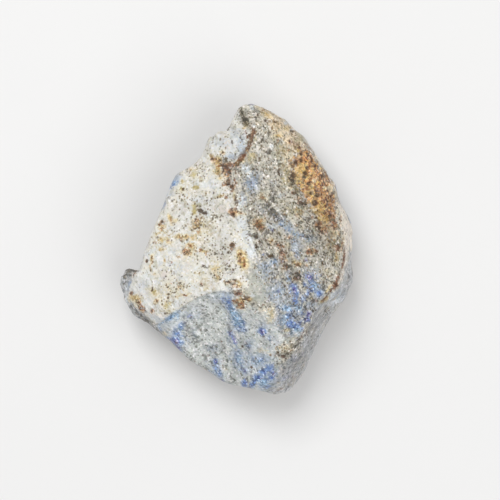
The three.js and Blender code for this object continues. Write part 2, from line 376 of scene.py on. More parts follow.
def evenMesh(node, cell):
    # one even skin of small faces over the node's shape, in millimetres
    rough = bmesh.new()
    rough.from_mesh(node.data)
    bmesh.ops.remove_doubles(rough, verts=rough.verts, dist=1e-7)
    bmesh.ops.scale(rough, vec=(1000, 1000, 1000), verts=rough.verts)
    mesh = bpy.data.meshes.new("roughStone")
    rough.to_mesh(mesh)
    rough.free()
    holder = bpy.data.objects.new("roughStone", mesh)
    bpy.context.scene.collection.objects.link(holder)
    skin = holder.modifiers.new("skin", "REMESH")
    skin.mode = "VOXEL"
    skin.voxel_size = cell
    graph = bpy.context.evaluated_depsgraph_get()
    even = bpy.data.meshes.new_from_object(holder.evaluated_get(graph))
    bpy.data.objects.remove(holder)
    return even


def carve(mesh, values):
    edges = np.empty(len(mesh.edges) * 2, np.int32)
    mesh.edges.foreach_get("vertices", edges)
    edges = edges.reshape(-1, 2)
    points = relaxed(readPoints(mesh), edges, values["facetPasses"])
    calm = relaxed(points, edges, values["ridgePasses"])
    writePoints(mesh, points)
    normals = readNormals(mesh)
    crest = ((points - calm) * normals).sum(1)  # more than nothing on ridges
    height = values["ridgeKeep"] * np.clip(crest, *values["ridgeRange"])
    front = stepUp(normals[:, 2], 0.0, 0.2)
    for x, y, reach, share in values["eased"]:
        near = share * nearSpot(points, x, y, reach) * front
        points += (calm - points) * near[:, None]
        height *= 1 - near

    # chips out of the ridges
    bite = stepUp(noiseAt(points, values["chipSize"], 3.1), 0.05, 0.35)
    height -= values["chipDepth"] * bite * stepUp(crest, 0.03, 0.16)

    # the break drops away under its arched edge
    beside = besidePath(points, paths["arch"])
    below = stepUp(beside, 0.0, 0.3) * (1 - stepUp(beside, 0.4, values["archFade"]))
    height -= values["archStep"] * below * front

    # the groove round the boss, the hollow at the tip, the cracks and the vein
    for name, (depth, width) in values["grooves"].items():
        gap = besidePath(points, paths[name])
        height -= depth * np.exp(-(gap / width) ** 2) * front

    # the rim outside the crack and the lip outside its edge lie a little lower
    beside = besidePath(points, paths["rimCrack"])
    below = stepUp(beside, 0.0, 0.3) * (1 - stepUp(beside, 0.5, values["rimFade"]))
    height -= values["rimStep"] * below * front
    beside = -besidePath(points, paths["lip"])
    below = stepUp(beside, 0.0, 0.3) * (1 - stepUp(beside, 0.5, values["lipFade"]))
    height -= values["lipStep"] * below * front

    # the rim's small trims go sideways only
    flat = normals[:, :2] / np.maximum(np.hypot(normals[:, 0], normals[:, 1]), 0.2)[:, None]
    for x, y, reach, push in values["trims"]:
        points[:, :2] += flat * (push * nearSpot(points, x, y, reach))[:, None]

    points += normals * height[:, None]
    points[:, 2] = np.maximum(points[:, 2], 0)
    writePoints(mesh, points)


print("making the fine mesh")
stoneMesh = evenMesh(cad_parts["lapis_stone"], surface["cell"])
carve(stoneMesh, surface)
print("fine mesh:", len(stoneMesh.vertices), "points,", len(stoneMesh.polygons), "faces")

# stains, streaks and patches
# each row: x, y, length, width, strength, and the turn in degrees where there is one; where rows overlap the
# strongest counts, so their order is free: in each area they run from the top down
patches = {
    # rust red and brown
    "rust": [
        # on the white face
        (2.05, 19.0, 0.5, 0.5, 0.9), (-2.3, 16.2, 0.7, 0.6, 0.95), (-4.0, 15.1, 1.1, 0.9, 0.9),
        (-3.1, 14.8, 0.9, 0.7, 0.8), (-1.4, 14.1, 2.8, 0.8, 1.4), (-2.9, 13.3, 0.8, 2.2, 0.45),
        (-1.5, 13.2, 1.4, 2.4, 1.3), (-0.4, 13.2, 1.8, 1.6, 0.62), (-1.1, 12.7, 1.0, 1.0, 0.95),
        (-2.9, 12.4, 0.9, 0.8, 0.75), (-1.9, 12.3, 0.8, 0.7, 0.9), (-6.2, 12.1, 0.7, 0.6, 0.6),
        (-0.4, 11.8, 0.8, 1.2, 0.8), (-1.2, 11.6, 1.2, 1.2, 0.9), (-1.1, 11.0, 1.7, 0.9, 0.95, -25),
        (-3.6, 10.9, 0.4, 0.4, 0.8), (-1.8, 10.8, 1.3, 0.6, 1.1, 10), (-0.7, 10.4, 1.3, 0.9, 1.15, -50),
        (-0.8, 9.6, 0.8, 0.6, 0.7), (-2.4, 8.8, 0.9, 0.3, 0.6), (-1.7, 8.6, 0.7, 0.5, 1.0),
        (-0.1, 8.3, 0.6, 1.0, 0.85), (-0.1, 7.8, 0.5, 0.6, 0.8), (-0.1, 7.7, 0.8, 0.9, 0.85),
        (-0.5, 6.15, 1.4, 1.25, 1.4), (0.9, 5.9, 1.4, 0.4, 0.7), (-0.4, 5.4, 0.5, 0.7, 1.1),
        (-6.8, 4.9, 0.8, 1.0, 0.95), (-11.0, 4.7, 0.5, 0.9, 0.8, 20), (-12.5, 4.4, 0.8, 1.0, 1.05),
        (-6.7, 4.2, 1.0, 2.0, 0.8), (-6.6, 4.0, 1.7, 2.8, 0.8, -10), (-13.1, 3.9, 0.5, 0.7, 0.7),
        (-12.7, 3.2, 0.9, 0.7, 0.9), (-6.5, 2.8, 0.8, 0.6, 0.9), (-11.4, 2.2, 0.4, 0.4, 0.75),
        (-13.3, 1.9, 0.4, 0.5, 0.8), (-9.45, 1.6, 0.7, 1.0, 0.9), (-14.0, 0.9, 1.4, 0.4, 0.8),
        (-0.7, 0.5, 1.1, 0.85, 1.1, 10), (-7.8, 0.4, 1.0, 0.4, 0.85), (-12.2, 0.3, 0.6, 0.5, 0.8),
        (-2.1, 0.0, 0.8, 0.4, 0.8, -40), (-6.1, -0.3, 0.6, 0.5, 1.0), (-0.8, -0.3, 0.6, 0.9, 0.8),
        (-8.65, -0.55, 0.8, 1.0, 1.2, 20), (-5.0, -0.6, 0.4, 0.4, 0.9), (-8.0, -0.9, 0.6, 1.3, 0.85, 10),
        (0.8, -1.0, 0.7, 0.9, 0.8), (-5.1, -1.1, 0.35, 0.6, 0.9), (-15.3, -1.3, 0.4, 0.9, 0.7),
        (0.9, -1.5, 0.9, 1.6, 0.78, 15), (-14.3, -1.6, 0.35, 1.0, 0.9), (-9.7, -1.6, 0.7, 0.5, 0.9),
        (-15.2, -2.1, 0.5, 0.7, 1.0, -20), (1.45, -2.2, 0.4, 1.4, 0.7, 10), (-14.2, -2.4, 0.5, 0.5, 1.0),
        (-11.0, -2.4, 0.45, 0.4, 0.9), (1.4, -2.6, 0.6, 1.2, 0.85, 10), (-0.6, -3.6, 0.6, 0.6, 0.7),
        (-17.3, -4.2, 0.45, 1.6, 1.0, -25), (-0.3, -5.4, 0.8, 0.7, 0.8), (-1.2, -5.8, 1.4, 0.6, 1.0, -10),
        (-9.6, -5.9, 0.8, 0.4, 0.8, 10), (-11.0, -6.0, 0.45, 0.4, 0.9), (-5.9, -6.1, 0.5, 0.6, 1.0),
        (-0.2, -6.3, 1.4, 0.8, 0.9, -20), (-9.7, -6.5, 0.4, 0.4, 0.9), (-17.9, -7.7, 0.7, 0.7, 1.1),
        (-8.8, -7.9, 0.9, 0.4, 0.9, -20), (-13.4, -8.9, 0.8, 0.4, 0.9), (-16.6, -9.2, 0.9, 0.9, 1.1),
        (-16.1, -10.3, 1.3, 0.9, 1.35, -30), (-14.3, -10.7, 0.7, 0.9, 1.2, 10),
        # on the banded rock
        (1.7, 21.2, 0.8, 0.8, 0.5), (2.3, 20.8, 0.7, 1.6, 0.5, 10), (2.95, 19.6, 1.1, 0.7, 1.05, 70),
        (2.6, 18.7, 1.2, 0.7, 0.85, 85), (2.75, 18.3, 0.6, 1.6, 0.8, 5), (7.2, 18.3, 0.5, 1.2, 0.7),
        (2.45, 17.8, 1.5, 0.6, 0.85, 80), (12.3, 17.2, 0.5, 1.4, 0.4, 20), (8.8, 16.8, 1.2, 1.2, 0.58),
        (1.9, 16.7, 1.4, 0.55, 0.95, 60), (1.35, 15.7, 1.4, 0.65, 1.0, 50), (0.7, 15.0, 1.4, 0.7, 1.0, 40),
        (9.0, 14.6, 0.8, 1.6, 0.6), (9.7, 14.0, 0.8, 1.2, 0.85), (0.4, 13.6, 0.9, 0.7, 0.55),
        (15.3, 12.8, 0.7, 1.8, 0.7, 35), (9.6, 12.2, 1.2, 3.0, 0.85, 5), (0.0, 11.0, 0.6, 0.7, 0.85),
        (9.6, 9.4, 1.4, 0.9, 0.75), (4.5, 8.6, 0.9, 1.2, 0.75), (10.5, 8.6, 1.8, 1.4, 0.62, -30),
        (11.0, 7.6, 1.8, 1.1, 0.85), (11.0, 6.5, 2.4, 1.4, 0.62, -40), (8.2, 5.7, 0.4, 0.4, 0.9),
        (10.3, 5.4, 0.5, 0.7, 0.7), (13.0, 5.4, 1.3, 1.2, 0.68), (16.7, 5.0, 0.7, 2.6, 0.9),
        (3.4, 4.3, 1.2, 1.2, 0.8), (4.0, 4.2, 2.5, 2.1, 0.75, -20), (14.3, 4.0, 1.2, 1.0, 0.95, -20),
        (10.4, 3.9, 1.2, 0.6, 0.6, -20), (13.9, 3.9, 1.4, 1.3, 1.05, -20), (16.8, 3.8, 1.2, 1.6, 1.0),
        (4.2, 3.7, 1.9, 1.3, 0.85, -20), (15.5, 3.4, 1.0, 1.6, 0.75, 30), (14.9, 3.0, 2.4, 1.8, 0.85),
        (17.6, 2.8, 1.0, 1.8, 0.55), (16.1, 1.8, 1.6, 2.4, 0.75), (9.0, 1.75, 1.5, 0.8, 0.85, 10),
        (4.9, 1.4, 1.2, 1.2, 0.6), (18.1, 1.1, 0.3, 0.7, 0.8), (18.0, 1.0, 0.4, 1.0, 0.9, -20),
        (6.9, 0.7, 3.2, 1.4, 0.75, -25), (17.4, 0.1, 1.3, 1.1, 1.15, -20), (13.5, -0.5, 1.0, 0.8, 0.9, 20),
        (12.5, -0.6, 1.3, 1.2, 1.05), (12.6, -0.6, 1.5, 1.3, 0.9), (6.2, -1.2, 0.6, 0.4, 0.8),
        (8.0, -1.4, 3.0, 1.7, 0.85, -80), (18.35, -1.6, 0.4, 2.2, 1.05, -3),
        (10.4, -2.7, 1.9, 0.8, 0.95, -15), (18.15, -2.8, 0.45, 1.0, 1.15, -12),
        (11.8, -2.9, 0.9, 0.4, 0.8, -20), (8.3, -3.1, 0.9, 1.4, 0.9), (15.6, -4.8, 0.3, 0.6, 0.7),
        (10.3, -5.0, 1.4, 1.0, 1.0), (17.3, -5.0, 0.7, 1.2, 1.2, -15), (17.2, -5.3, 0.6, 1.6, 1.1, -20),
        (9.6, -5.6, 0.4, 0.9, 0.7), (17.1, -5.6, 0.6, 2.4, 1.05, -22), (16.85, -6.2, 0.9, 1.2, 1.35, -25),
        (16.1, -7.1, 1.2, 0.35, 0.95, 52), (15.2, -8.3, 1.6, 0.25, 0.85, 52), (2.3, -8.8, 0.9, 0.6, 0.75),
        (13.3, -8.8, 2.4, 0.7, 0.52, 8), (13.9, -8.95, 1.2, 0.35, 0.65, 10),
        (11.2, -15.0, 1.0, 3.0, 0.55, -35), (8.2, -16.4, 0.5, 0.4, 0.9), (8.2, -17.3, 2.6, 1.2, 0.42),
        (9.4, -17.4, 0.9, 0.5, 0.8, 20),
        # in the orange field and on the peach rim
        (4.7, 23.6, 0.9, 0.35, 0.8, -10), (9.2, 18.1, 1.1, 0.9, 0.7, -20), (10.9, 17.1, 0.7, 2.4, 0.68, 42),
        (11.9, 16.6, 0.8, 1.4, 0.6, 40), (12.8, 15.3, 1.0, 3.0, 0.8, 18), (10.1, 14.6, 0.7, 0.8, 1.0),
        (13.4, 14.2, 0.9, 0.6, 0.9, -30), (14.4, 11.7, 0.7, 1.4, 0.75, 10), (15.4, 9.9, 0.8, 0.5, 0.7, -20),
        (16.1, 8.8, 0.7, 1.2, 0.75), (14.6, 8.7, 0.7, 1.3, 0.9), (15.7, 7.2, 0.6, 2.2, 0.8),
        (16.0, 5.6, 1.0, 1.6, 0.95),
        # on the grey break
        (0.5, -7.6, 1.4, 1.0, 1.1, -30), (1.7, -8.4, 1.4, 1.0, 0.9, -30), (0.1, -9.0, 1.2, 1.2, 0.75),
        (0.9, -9.6, 1.6, 1.3, 1.0), (7.2, -17.8, 0.4, 0.35, 0.8),
        # elsewhere
        (17.9, 5.0, 0.7, 2.2, 0.7, -5), (7.7, -24.2, 0.7, 0.6, 0.6), (7.3, -24.3, 0.7, 0.6, 0.6),
    ],
    # dark brown pits and dots
    "pit": [
        # on the white face
        (-0.4, 19.7, 0.6, 0.3, 0.7, 10), (0.7, 19.6, 0.5, 0.35, 0.8), (-3.9, 19.0, 0.35, 0.45, 0.9),
        (-1.9, 18.9, 0.35, 0.35, 0.7), (1.3, 18.7, 0.35, 0.8, 0.7), (-0.7, 18.0, 0.4, 0.4, 0.8),
        (-3.5, 17.6, 0.45, 0.4, 0.8), (-0.7, 17.4, 0.3, 0.4, 0.7), (0.1, 17.0, 0.35, 0.5, 0.7),
        (-2.6, 15.9, 0.4, 0.35, 0.7), (-5.6, 14.6, 0.4, 0.4, 0.75), (-5.5, 13.4, 0.3, 0.3, 0.8),
        (-1.5, 11.5, 0.6, 0.5, 0.8), (-1.3, 10.9, 1.0, 0.6, 0.85, 10), (-0.8, 10.5, 0.6, 0.6, 0.9),
        (-9.0, 10.0, 0.5, 0.5, 0.9), (-3.9, 9.4, 0.35, 0.5, 0.8, 20), (-9.0, 9.05, 0.35, 0.35, 0.8),
        (-11.4, 8.6, 0.6, 0.45, 0.75), (-3.2, 8.6, 0.35, 0.35, 0.9), (-5.0, 8.05, 0.35, 0.35, 0.9),
        (-6.7, 7.1, 0.3, 0.3, 0.8), (-6.2, 7.1, 0.4, 0.4, 0.9), (-6.1, 6.35, 1.0, 0.65, 1.15, -25),
        (-5.35, 6.0, 1.1, 0.5, 1.15, -15), (-0.5, 5.7, 0.6, 0.7, 0.9), (-9.7, 5.5, 0.35, 0.35, 0.9),
        (-1.6, 5.1, 0.3, 0.3, 0.8), (-12.6, 4.5, 0.5, 0.5, 0.8), (-1.4, 4.3, 0.4, 0.4, 0.95),
        (-8.9, 3.5, 0.45, 0.5, 0.75), (-11.9, 2.7, 0.4, 0.35, 0.7), (-13.6, 1.7, 0.35, 0.35, 0.8),
        (-8.3, 1.4, 0.4, 0.35, 1.0), (-10.9, 1.3, 0.35, 0.3, 0.8), (-0.7, 0.6, 0.8, 0.6, 1.0),
        (-12.0, 0.4, 0.35, 0.3, 0.8), (-1.35, -0.75, 0.45, 0.4, 1.1), (0.8, -0.9, 0.4, 0.4, 0.8),
        (-2.3, -1.0, 0.5, 0.4, 0.75), (0.15, -1.5, 0.3, 0.35, 1.0), (1.2, -1.6, 0.3, 0.4, 0.7),
        (-2.6, -1.7, 0.4, 0.6, 0.7, 30), (-15.2, -2.3, 0.35, 0.5, 1.0, -20), (-1.5, -2.6, 0.4, 0.35, 0.8),
        (-13.0, -2.8, 0.25, 0.25, 0.8), (1.4, -2.9, 0.3, 0.3, 0.9), (-11.2, -2.95, 0.3, 0.25, 0.8),
        (-5.7, -3.0, 0.9, 0.4, 0.75, 15), (-1.1, -3.0, 0.4, 0.5, 0.8), (0.0, -3.0, 0.3, 0.3, 0.8),
        (1.3, -3.0, 0.5, 0.4, 0.8), (0.7, -3.2, 0.35, 0.35, 1.0), (-11.5, -3.6, 0.3, 0.3, 0.8),
        (-12.6, -3.7, 0.35, 0.35, 0.9), (-14.6, -3.8, 0.35, 0.4, 0.95, 20), (-5.2, -4.3, 0.5, 0.4, 0.7),
        (-3.7, -4.6, 0.4, 0.3, 0.95), (-12.0, -4.8, 0.3, 0.5, 0.85), (-2.7, -5.2, 0.35, 0.4, 0.95),
        (-12.4, -5.5, 0.35, 0.3, 0.95), (-9.5, -5.9, 0.5, 0.3, 0.9), (-5.8, -6.3, 0.35, 0.35, 0.9),
        (-8.9, -6.5, 0.5, 0.4, 0.9), (-14.2, -6.6, 0.3, 0.3, 0.8), (-11.7, -6.6, 0.6, 0.35, 0.95),
        (-0.8, -6.8, 0.35, 0.35, 1.0), (-9.5, -6.9, 0.4, 0.3, 0.8), (-14.3, -7.1, 0.4, 0.6, 0.8),
        (-10.8, -7.5, 0.35, 0.3, 0.9), (-10.4, -7.5, 0.3, 0.3, 1.0), (-11.5, -7.8, 0.5, 0.4, 0.95, -30),
        (-8.8, -7.9, 0.4, 0.3, 0.9), (-11.6, -8.5, 0.35, 0.3, 0.9), (-15.4, -10.9, 0.4, 0.5, 0.9, 20),
        (-12.0, -11.1, 0.5, 0.4, 0.75),
        # on the banded rock
        (3.7, 22.6, 0.5, 0.3, 0.9, -40), (5.0, 21.7, 0.5, 0.6, 0.9), (4.1, 16.7, 0.5, 0.5, 0.75),
        (4.0, 15.3, 0.5, 0.4, 0.9), (3.0, 13.4, 0.4, 0.4, 0.85), (3.6, 13.4, 0.5, 0.35, 0.8, -20),
        (6.2, 13.4, 0.5, 0.4, 0.85), (7.3, 12.9, 0.4, 1.2, 0.85), (9.6, 12.4, 0.5, 0.8, 0.7, 10),
        (4.7, 11.8, 0.5, 0.4, 0.8, -30), (1.6, 11.7, 0.35, 0.4, 0.8), (9.4, 11.4, 0.5, 0.5, 0.7),
        (9.5, 10.9, 0.5, 0.4, 0.9), (2.2, 9.5, 0.35, 0.35, 0.8), (9.8, 9.3, 0.9, 0.5, 0.75, -30),
        (11.2, 7.8, 1.2, 0.5, 0.7, -20), (3.0, 6.7, 0.4, 0.35, 0.8), (13.6, 5.2, 0.4, 0.4, 1.0),
        (4.8, 3.3, 0.4, 0.3, 1.0), (3.3, 2.1, 0.6, 0.9, 0.9, 25), (3.4, 0.3, 0.4, 1.3, 0.85),
        (17.6, 0.3, 0.6, 0.6, 0.8), (5.8, -1.3, 1.1, 0.5, 1.0), (15.3, -1.3, 0.35, 0.5, 0.8),
        (4.4, -1.5, 0.4, 0.35, 0.9), (14.7, -2.5, 0.5, 0.6, 0.9), (10.1, -4.3, 0.6, 0.4, 0.8),
        (15.0, -5.6, 0.5, 0.4, 0.75), (17.0, -6.2, 0.5, 0.5, 0.8), (8.2, -16.4, 0.45, 0.3, 0.9),
        (8.3, -17.5, 0.4, 0.3, 0.8), (7.8, -18.2, 2.4, 0.3, 0.6, -10),
        # in the orange field and on the peach rim
        (6.7, 21.5, 0.5, 0.4, 1.0), (7.2, 21.1, 0.35, 0.3, 0.8), (9.5, 20.0, 0.7, 0.45, 1.0, -10),
        (11.1, 16.0, 0.5, 0.5, 1.0), (11.1, 15.0, 0.4, 0.9, 1.0, 20), (10.1, 14.6, 0.6, 0.7, 1.1),
        (12.15, 13.7, 0.6, 0.6, 1.1), (11.8, 12.8, 0.75, 0.7, 1.15), (13.0, 12.4, 0.5, 0.35, 0.9, 20),
        (14.8, 12.3, 0.6, 0.6, 0.9), (11.5, 11.3, 0.35, 0.35, 1.0), (12.35, 11.0, 0.7, 0.6, 1.1),
        (12.8, 9.4, 0.7, 0.6, 1.1), (13.9, 9.0, 0.8, 0.6, 1.0), (16.1, 8.8, 0.45, 0.7, 0.85),
        (13.4, 7.7, 0.9, 0.9, 1.15), (13.9, 6.4, 0.45, 0.35, 1.0), (15.0, 6.0, 0.35, 0.35, 0.9),
        # elsewhere
        (1.0, -16.8, 0.5, 0.4, 0.85), (7.1, -17.7, 0.4, 0.3, 0.95), (2.6, -20.3, 0.5, 0.35, 0.85, -35),
    ],
    # ochre yellow
    "ochre": [
        # on the white face
        (1.4, 20.4, 0.9, 0.4, 0.75), (-2.3, 16.3, 0.9, 0.8, 0.7), (-4.2, 15.6, 0.7, 0.6, 0.7),
        (-3.2, 14.7, 1.3, 1.4, 1.1), (-2.9, 14.2, 1.0, 1.2, 0.7), (-7.5, 13.5, 1.3, 0.6, 0.55),
        (-3.0, 13.3, 0.9, 2.2, 1.05), (-3.9, 13.0, 0.8, 0.8, 0.5), (-7.2, 12.4, 1.0, 0.8, 0.7),
        (-2.6, 12.0, 0.8, 0.7, 0.8), (-9.2, 11.4, 0.7, 0.6, 0.6), (-6.8, 10.3, 1.0, 0.6, 0.8, 20),
        (-9.3, 10.1, 0.6, 0.8, 0.75), (-5.2, 9.4, 1.4, 0.6, 0.4), (-2.6, 8.9, 1.4, 0.5, 0.7, 15),
        (-0.3, 8.6, 0.6, 2.4, 0.65), (-7.2, 7.3, 0.9, 0.9, 0.7), (-7.0, 6.3, 0.8, 1.5, 0.9),
        (0.4, 5.9, 1.8, 0.7, 0.75), (-11.2, 5.1, 0.7, 1.2, 1.0, 20), (-10.6, 4.6, 1.6, 1.2, 0.55),
        (-12.6, 3.8, 1.2, 2.2, 0.55), (-6.6, 3.8, 1.8, 2.2, 0.65, -20), (-13.4, 2.4, 0.9, 0.7, 0.6),
        (-9.8, 1.9, 1.3, 1.0, 0.85), (-8.4, 1.9, 1.6, 0.9, 0.85), (-7.4, 1.9, 1.5, 1.0, 0.75),
        (-12.6, 1.3, 1.4, 0.9, 0.65), (-11.6, 1.2, 1.5, 0.9, 0.7), (-7.7, 0.4, 1.6, 1.0, 0.85),
        (-12.8, -0.2, 1.2, 0.6, 0.6), (-5.4, -0.5, 1.2, 0.6, 0.8), (-8.2, -0.8, 2.0, 2.2, 0.5),
        (-14.3, -1.8, 0.7, 1.8, 0.8), (1.05, -1.9, 1.4, 2.9, 1.35, 17), (-12.2, -2.1, 0.4, 1.0, 0.75),
        (-14.6, -3.3, 0.4, 1.4, 0.8, 10), (-3.4, -3.6, 1.8, 2.2, 0.65, -15), (-6.4, -4.2, 1.2, 0.8, 0.5),
        (-13.9, -4.4, 0.7, 0.5, 0.7), (-3.0, -4.9, 1.0, 1.0, 0.6), (0.0, -5.6, 1.8, 0.8, 0.6),
        (0.6, -6.2, 0.9, 0.9, 0.8), (-9.2, -6.4, 2.4, 2.2, 0.42), (-15.3, -7.0, 0.9, 0.3, 0.6),
        (-11.5, -7.0, 1.4, 2.2, 0.5), (-5.2, -7.0, 0.8, 0.4, 0.6), (-14.0, -7.4, 1.2, 1.6, 0.65, 30),
        (-9.6, -8.0, 3.0, 0.9, 0.55, 10), (-17.2, -8.5, 1.7, 1.0, 1.1, -10), (-13.4, -9.0, 1.1, 0.8, 0.75),
        (-16.9, -9.3, 1.0, 1.2, 0.7), (-11.8, -9.9, 1.6, 2.4, 0.55, 10),
        # on the banded rock
        (1.7, 21.0, 0.9, 1.0, 0.75), (7.1, 19.1, 1.1, 0.5, 0.8), (3.2, 18.4, 0.5, 1.0, 0.6),
        (2.6, 15.6, 1.4, 1.8, 0.5), (1.0, 14.9, 1.0, 0.8, 0.7), (0.4, 14.6, 1.2, 0.6, 1.0, 20),
        (8.3, 12.0, 1.0, 2.0, 0.4), (9.5, 11.6, 1.6, 3.2, 0.72, 5), (4.5, 8.7, 1.2, 1.6, 0.5),
        (11.0, 6.3, 2.2, 1.8, 0.5), (3.9, 4.3, 2.0, 2.0, 0.7), (14.8, 3.4, 2.4, 1.4, 0.6, -20),
        (16.4, 2.2, 2.4, 3.4, 0.3), (6.1, 1.3, 1.2, 0.8, 0.7), (16.2, 1.0, 2.2, 3.4, 0.45),
        (12.9, -0.5, 1.6, 1.0, 0.6), (17.1, -1.7, 0.8, 1.8, 0.8), (9.9, -2.4, 0.9, 0.8, 0.8),
        (10.6, -2.7, 1.2, 0.8, 0.8), (15.6, -7.0, 0.4, 1.8, 0.65, -35), (12.8, -8.5, 0.7, 0.5, 0.6),
        (2.2, -8.6, 1.3, 0.8, 0.8), (15.3, -8.6, 0.7, 1.0, 0.8, -30), (14.4, -9.1, 0.8, 0.5, 0.7),
        (5.9, -11.0, 1.1, 2.0, 0.35), (8.7, -13.9, 0.9, 0.5, 0.6),
        # on the grey break
        (1.0, -8.2, 2.4, 2.2, 0.5), (0.9, -9.0, 2.2, 2.2, 0.75), (7.6, -17.4, 2.2, 1.2, 0.25, 20),
        (-1.9, -20.6, 1.2, 0.7, 0.3),
        # elsewhere
        (5.4, 22.7, 1.4, 1.0, 0.7), (8.6, 20.4, 0.9, 0.9, 0.6),
    ],
    # olive brown dirt
    "olive": [
        # on the white face
        (0.3, 21.0, 1.4, 1.2, 0.5), (-4.8, 16.6, 0.8, 0.8, 0.45), (-7.2, 12.7, 1.6, 1.6, 0.8),
        (-5.9, 11.7, 0.9, 0.9, 0.8), (-9.1, 10.4, 1.0, 2.0, 0.7), (-6.8, 10.3, 1.4, 0.9, 0.8),
        (-6.0, 9.6, 2.0, 1.0, 0.35), (-8.3, 7.3, 2.6, 1.4, 0.5), (-6.7, 7.3, 2.0, 0.8, 1.0),
        (-7.1, 6.6, 1.2, 2.2, 0.8), (-8.8, 6.0, 1.0, 1.0, 0.7), (-5.6, 4.0, 5.0, 4.0, 0.5),
        (-12.4, 2.6, 3.6, 3.6, 0.42), (-6.2, 2.4, 1.0, 1.0, 0.6), (-5.5, -0.1, 1.0, 1.0, 0.8),
        (-3.2, -3.4, 2.2, 2.0, 0.45), (-5.7, -4.1, 0.9, 0.8, 0.8), (-4.6, -5.6, 5.0, 2.6, 0.42),
        (-14.0, -7.4, 1.4, 1.4, 0.6), (-11.6, -10.1, 1.6, 2.2, 0.7),
        # on the banded rock
        (0.85, 23.6, 0.7, 1.0, 1.0), (1.3, 22.3, 0.9, 2.6, 1.1, 20), (1.7, 21.2, 1.2, 1.3, 0.8),
        (11.0, 18.9, 1.8, 1.7, 0.9), (7.2, 16.8, 1.3, 3.4, 0.8), (2.4, 15.4, 1.6, 2.2, 0.65),
        (0.6, 14.5, 0.9, 1.0, 0.75), (9.4, 11.6, 1.4, 3.0, 0.5, 5), (8.0, 9.6, 1.8, 6.0, 0.5, -8),
        (8.0, 9.0, 1.6, 3.2, 0.55), (9.0, 6.5, 2.4, 5.0, 0.55, 20), (13.0, 5.4, 1.2, 1.2, 0.5),
        (8.4, 4.2, 1.0, 1.2, 0.6), (11.5, 3.4, 1.6, 0.8, 0.6, -30), (6.4, 2.2, 1.6, 0.8, 0.4),
        (3.0, -5.2, 1.6, 1.2, 0.4), (9.2, -6.7, 0.8, 0.6, 0.5), (11.0, -7.0, 0.8, 1.6, 0.5),
        (14.2, -7.2, 0.8, 1.6, 0.6), (8.6, -8.0, 1.0, 0.8, 0.4), (8.6, -13.9, 1.2, 0.8, 0.6),
        # elsewhere
        (12.0, 15.8, 0.8, 1.0, 0.5), (12.9, 7.2, 1.0, 1.0, 0.6), (16.6, 6.0, 1.0, 1.2, 0.5),
        (15.6, -10.5, 0.5, 2.0, 0.7, -25), (-2.0, -13.3, 1.2, 1.0, 0.5), (-11.6, -13.8, 1.0, 1.0, 0.55),
        (-3.2, -14.0, 1.0, 1.4, 0.45), (7.2, -23.0, 1.4, 0.8, 0.7, 45),
    ],
    # streaks of dark grains, and painted shade along the boss's right edge, on its lower left and at the
    # lip's knob
    "dark": [
        # on the white face
        # the rows at x 1.95 to 2.3, y 17.7 to 19.0, are painted shadow in the groove along the boss's right
        # edge, and those at x -1.9, y 14.9 to 15.1, are painted shade on the boss's lower left
        (0.5, 22.6, 0.7, 1.0, 0.5, 20), (-1.3, 20.3, 1.2, 0.4, 0.7, 50), (0.6, 19.5, 1.4, 0.5, 0.6, 10),
        (2.3, 19.0, 0.5, 0.6, 0.9), (1.95, 18.9, 0.5, 0.8, 1.1), (-4.8, 18.5, 1.0, 0.4, 0.5, 45),
        (0.9, 18.4, 0.6, 1.0, 0.5), (-0.7, 18.0, 0.6, 0.7, 0.6), (2.1, 17.7, 0.3, 1.6, 1.05, 8),
        (0.0, 16.1, 0.6, 1.0, 0.6), (0.1, 15.9, 0.8, 0.9, 0.6, 30), (-1.9, 15.1, 1.5, 0.6, 0.65),
        (-1.9, 14.9, 1.6, 0.7, 0.7), (-1.1, 12.7, 0.9, 0.9, 0.7), (-0.1, 8.6, 0.8, 1.2, 0.6),
        (0.1, 7.9, 0.7, 0.9, 0.6), (-3.4, 5.2, 1.6, 1.2, 0.45), (-1.1, -0.8, 0.9, 0.7, 0.5),
        (-3.2, -0.9, 1.4, 0.6, 0.5, 20), (-5.2, -3.2, 1.2, 0.6, 0.5, 10), (-1.5, -3.6, 1.2, 1.4, 0.45),
        (-0.7, -3.9, 1.0, 0.8, 0.5), (-2.9, -5.9, 0.6, 0.3, 0.5), (-5.1, -7.7, 0.6, 0.3, 0.6),
        # on the banded rock
        (1.0, 23.0, 0.6, 1.6, 0.95, 22), (3.4, 21.9, 0.8, 0.8, 0.6), (1.5, 21.8, 0.7, 1.4, 1.05, 22),
        (1.7, 21.4, 0.8, 1.4, 1.3, 20), (1.6, 21.3, 0.8, 1.0, 0.8, 20), (5.4, 19.7, 0.4, 1.8, 0.6, 25),
        (4.4, 18.0, 0.8, 1.4, 0.5, -20), (5.6, 16.2, 1.4, 1.0, 0.6, 30), (0.6, 14.5, 0.6, 0.8, 0.8),
        (7.5, 12.7, 0.7, 1.0, 0.6), (9.5, 11.8, 0.9, 2.4, 1.0, 8), (0.1, 10.9, 0.6, 0.8, 0.5),
        (1.4, 10.2, 0.7, 2.2, 0.5), (6.2, 9.2, 0.8, 1.7, 1.1, 5), (6.25, 9.2, 0.6, 2.2, 1.1, 12),
        (10.2, 9.2, 1.6, 0.8, 0.6, -40), (11.4, 8.4, 0.7, 1.4, 0.7, 20), (6.2, 8.3, 0.9, 0.8, 1.15, -30),
        (11.0, 7.5, 1.6, 1.0, 0.75), (2.0, 7.3, 0.9, 0.7, 0.45), (5.3, 7.3, 0.9, 0.5, 1.1, -45),
        (5.6, 6.9, 1.6, 0.6, 0.85, -45), (1.3, 6.4, 0.9, 0.7, 0.6), (12.6, 6.2, 1.4, 0.6, 0.5, -40),
        (6.3, 5.9, 2.2, 1.0, 1.6, -47), (6.9, 5.3, 1.6, 0.7, 1.15, -50), (6.9, 4.9, 0.9, 0.7, 1.6),
        (2.3, 4.8, 0.9, 1.2, 0.7), (12.2, 4.8, 2.4, 1.4, 0.5, -20), (2.2, 3.2, 0.8, 1.6, 0.55),
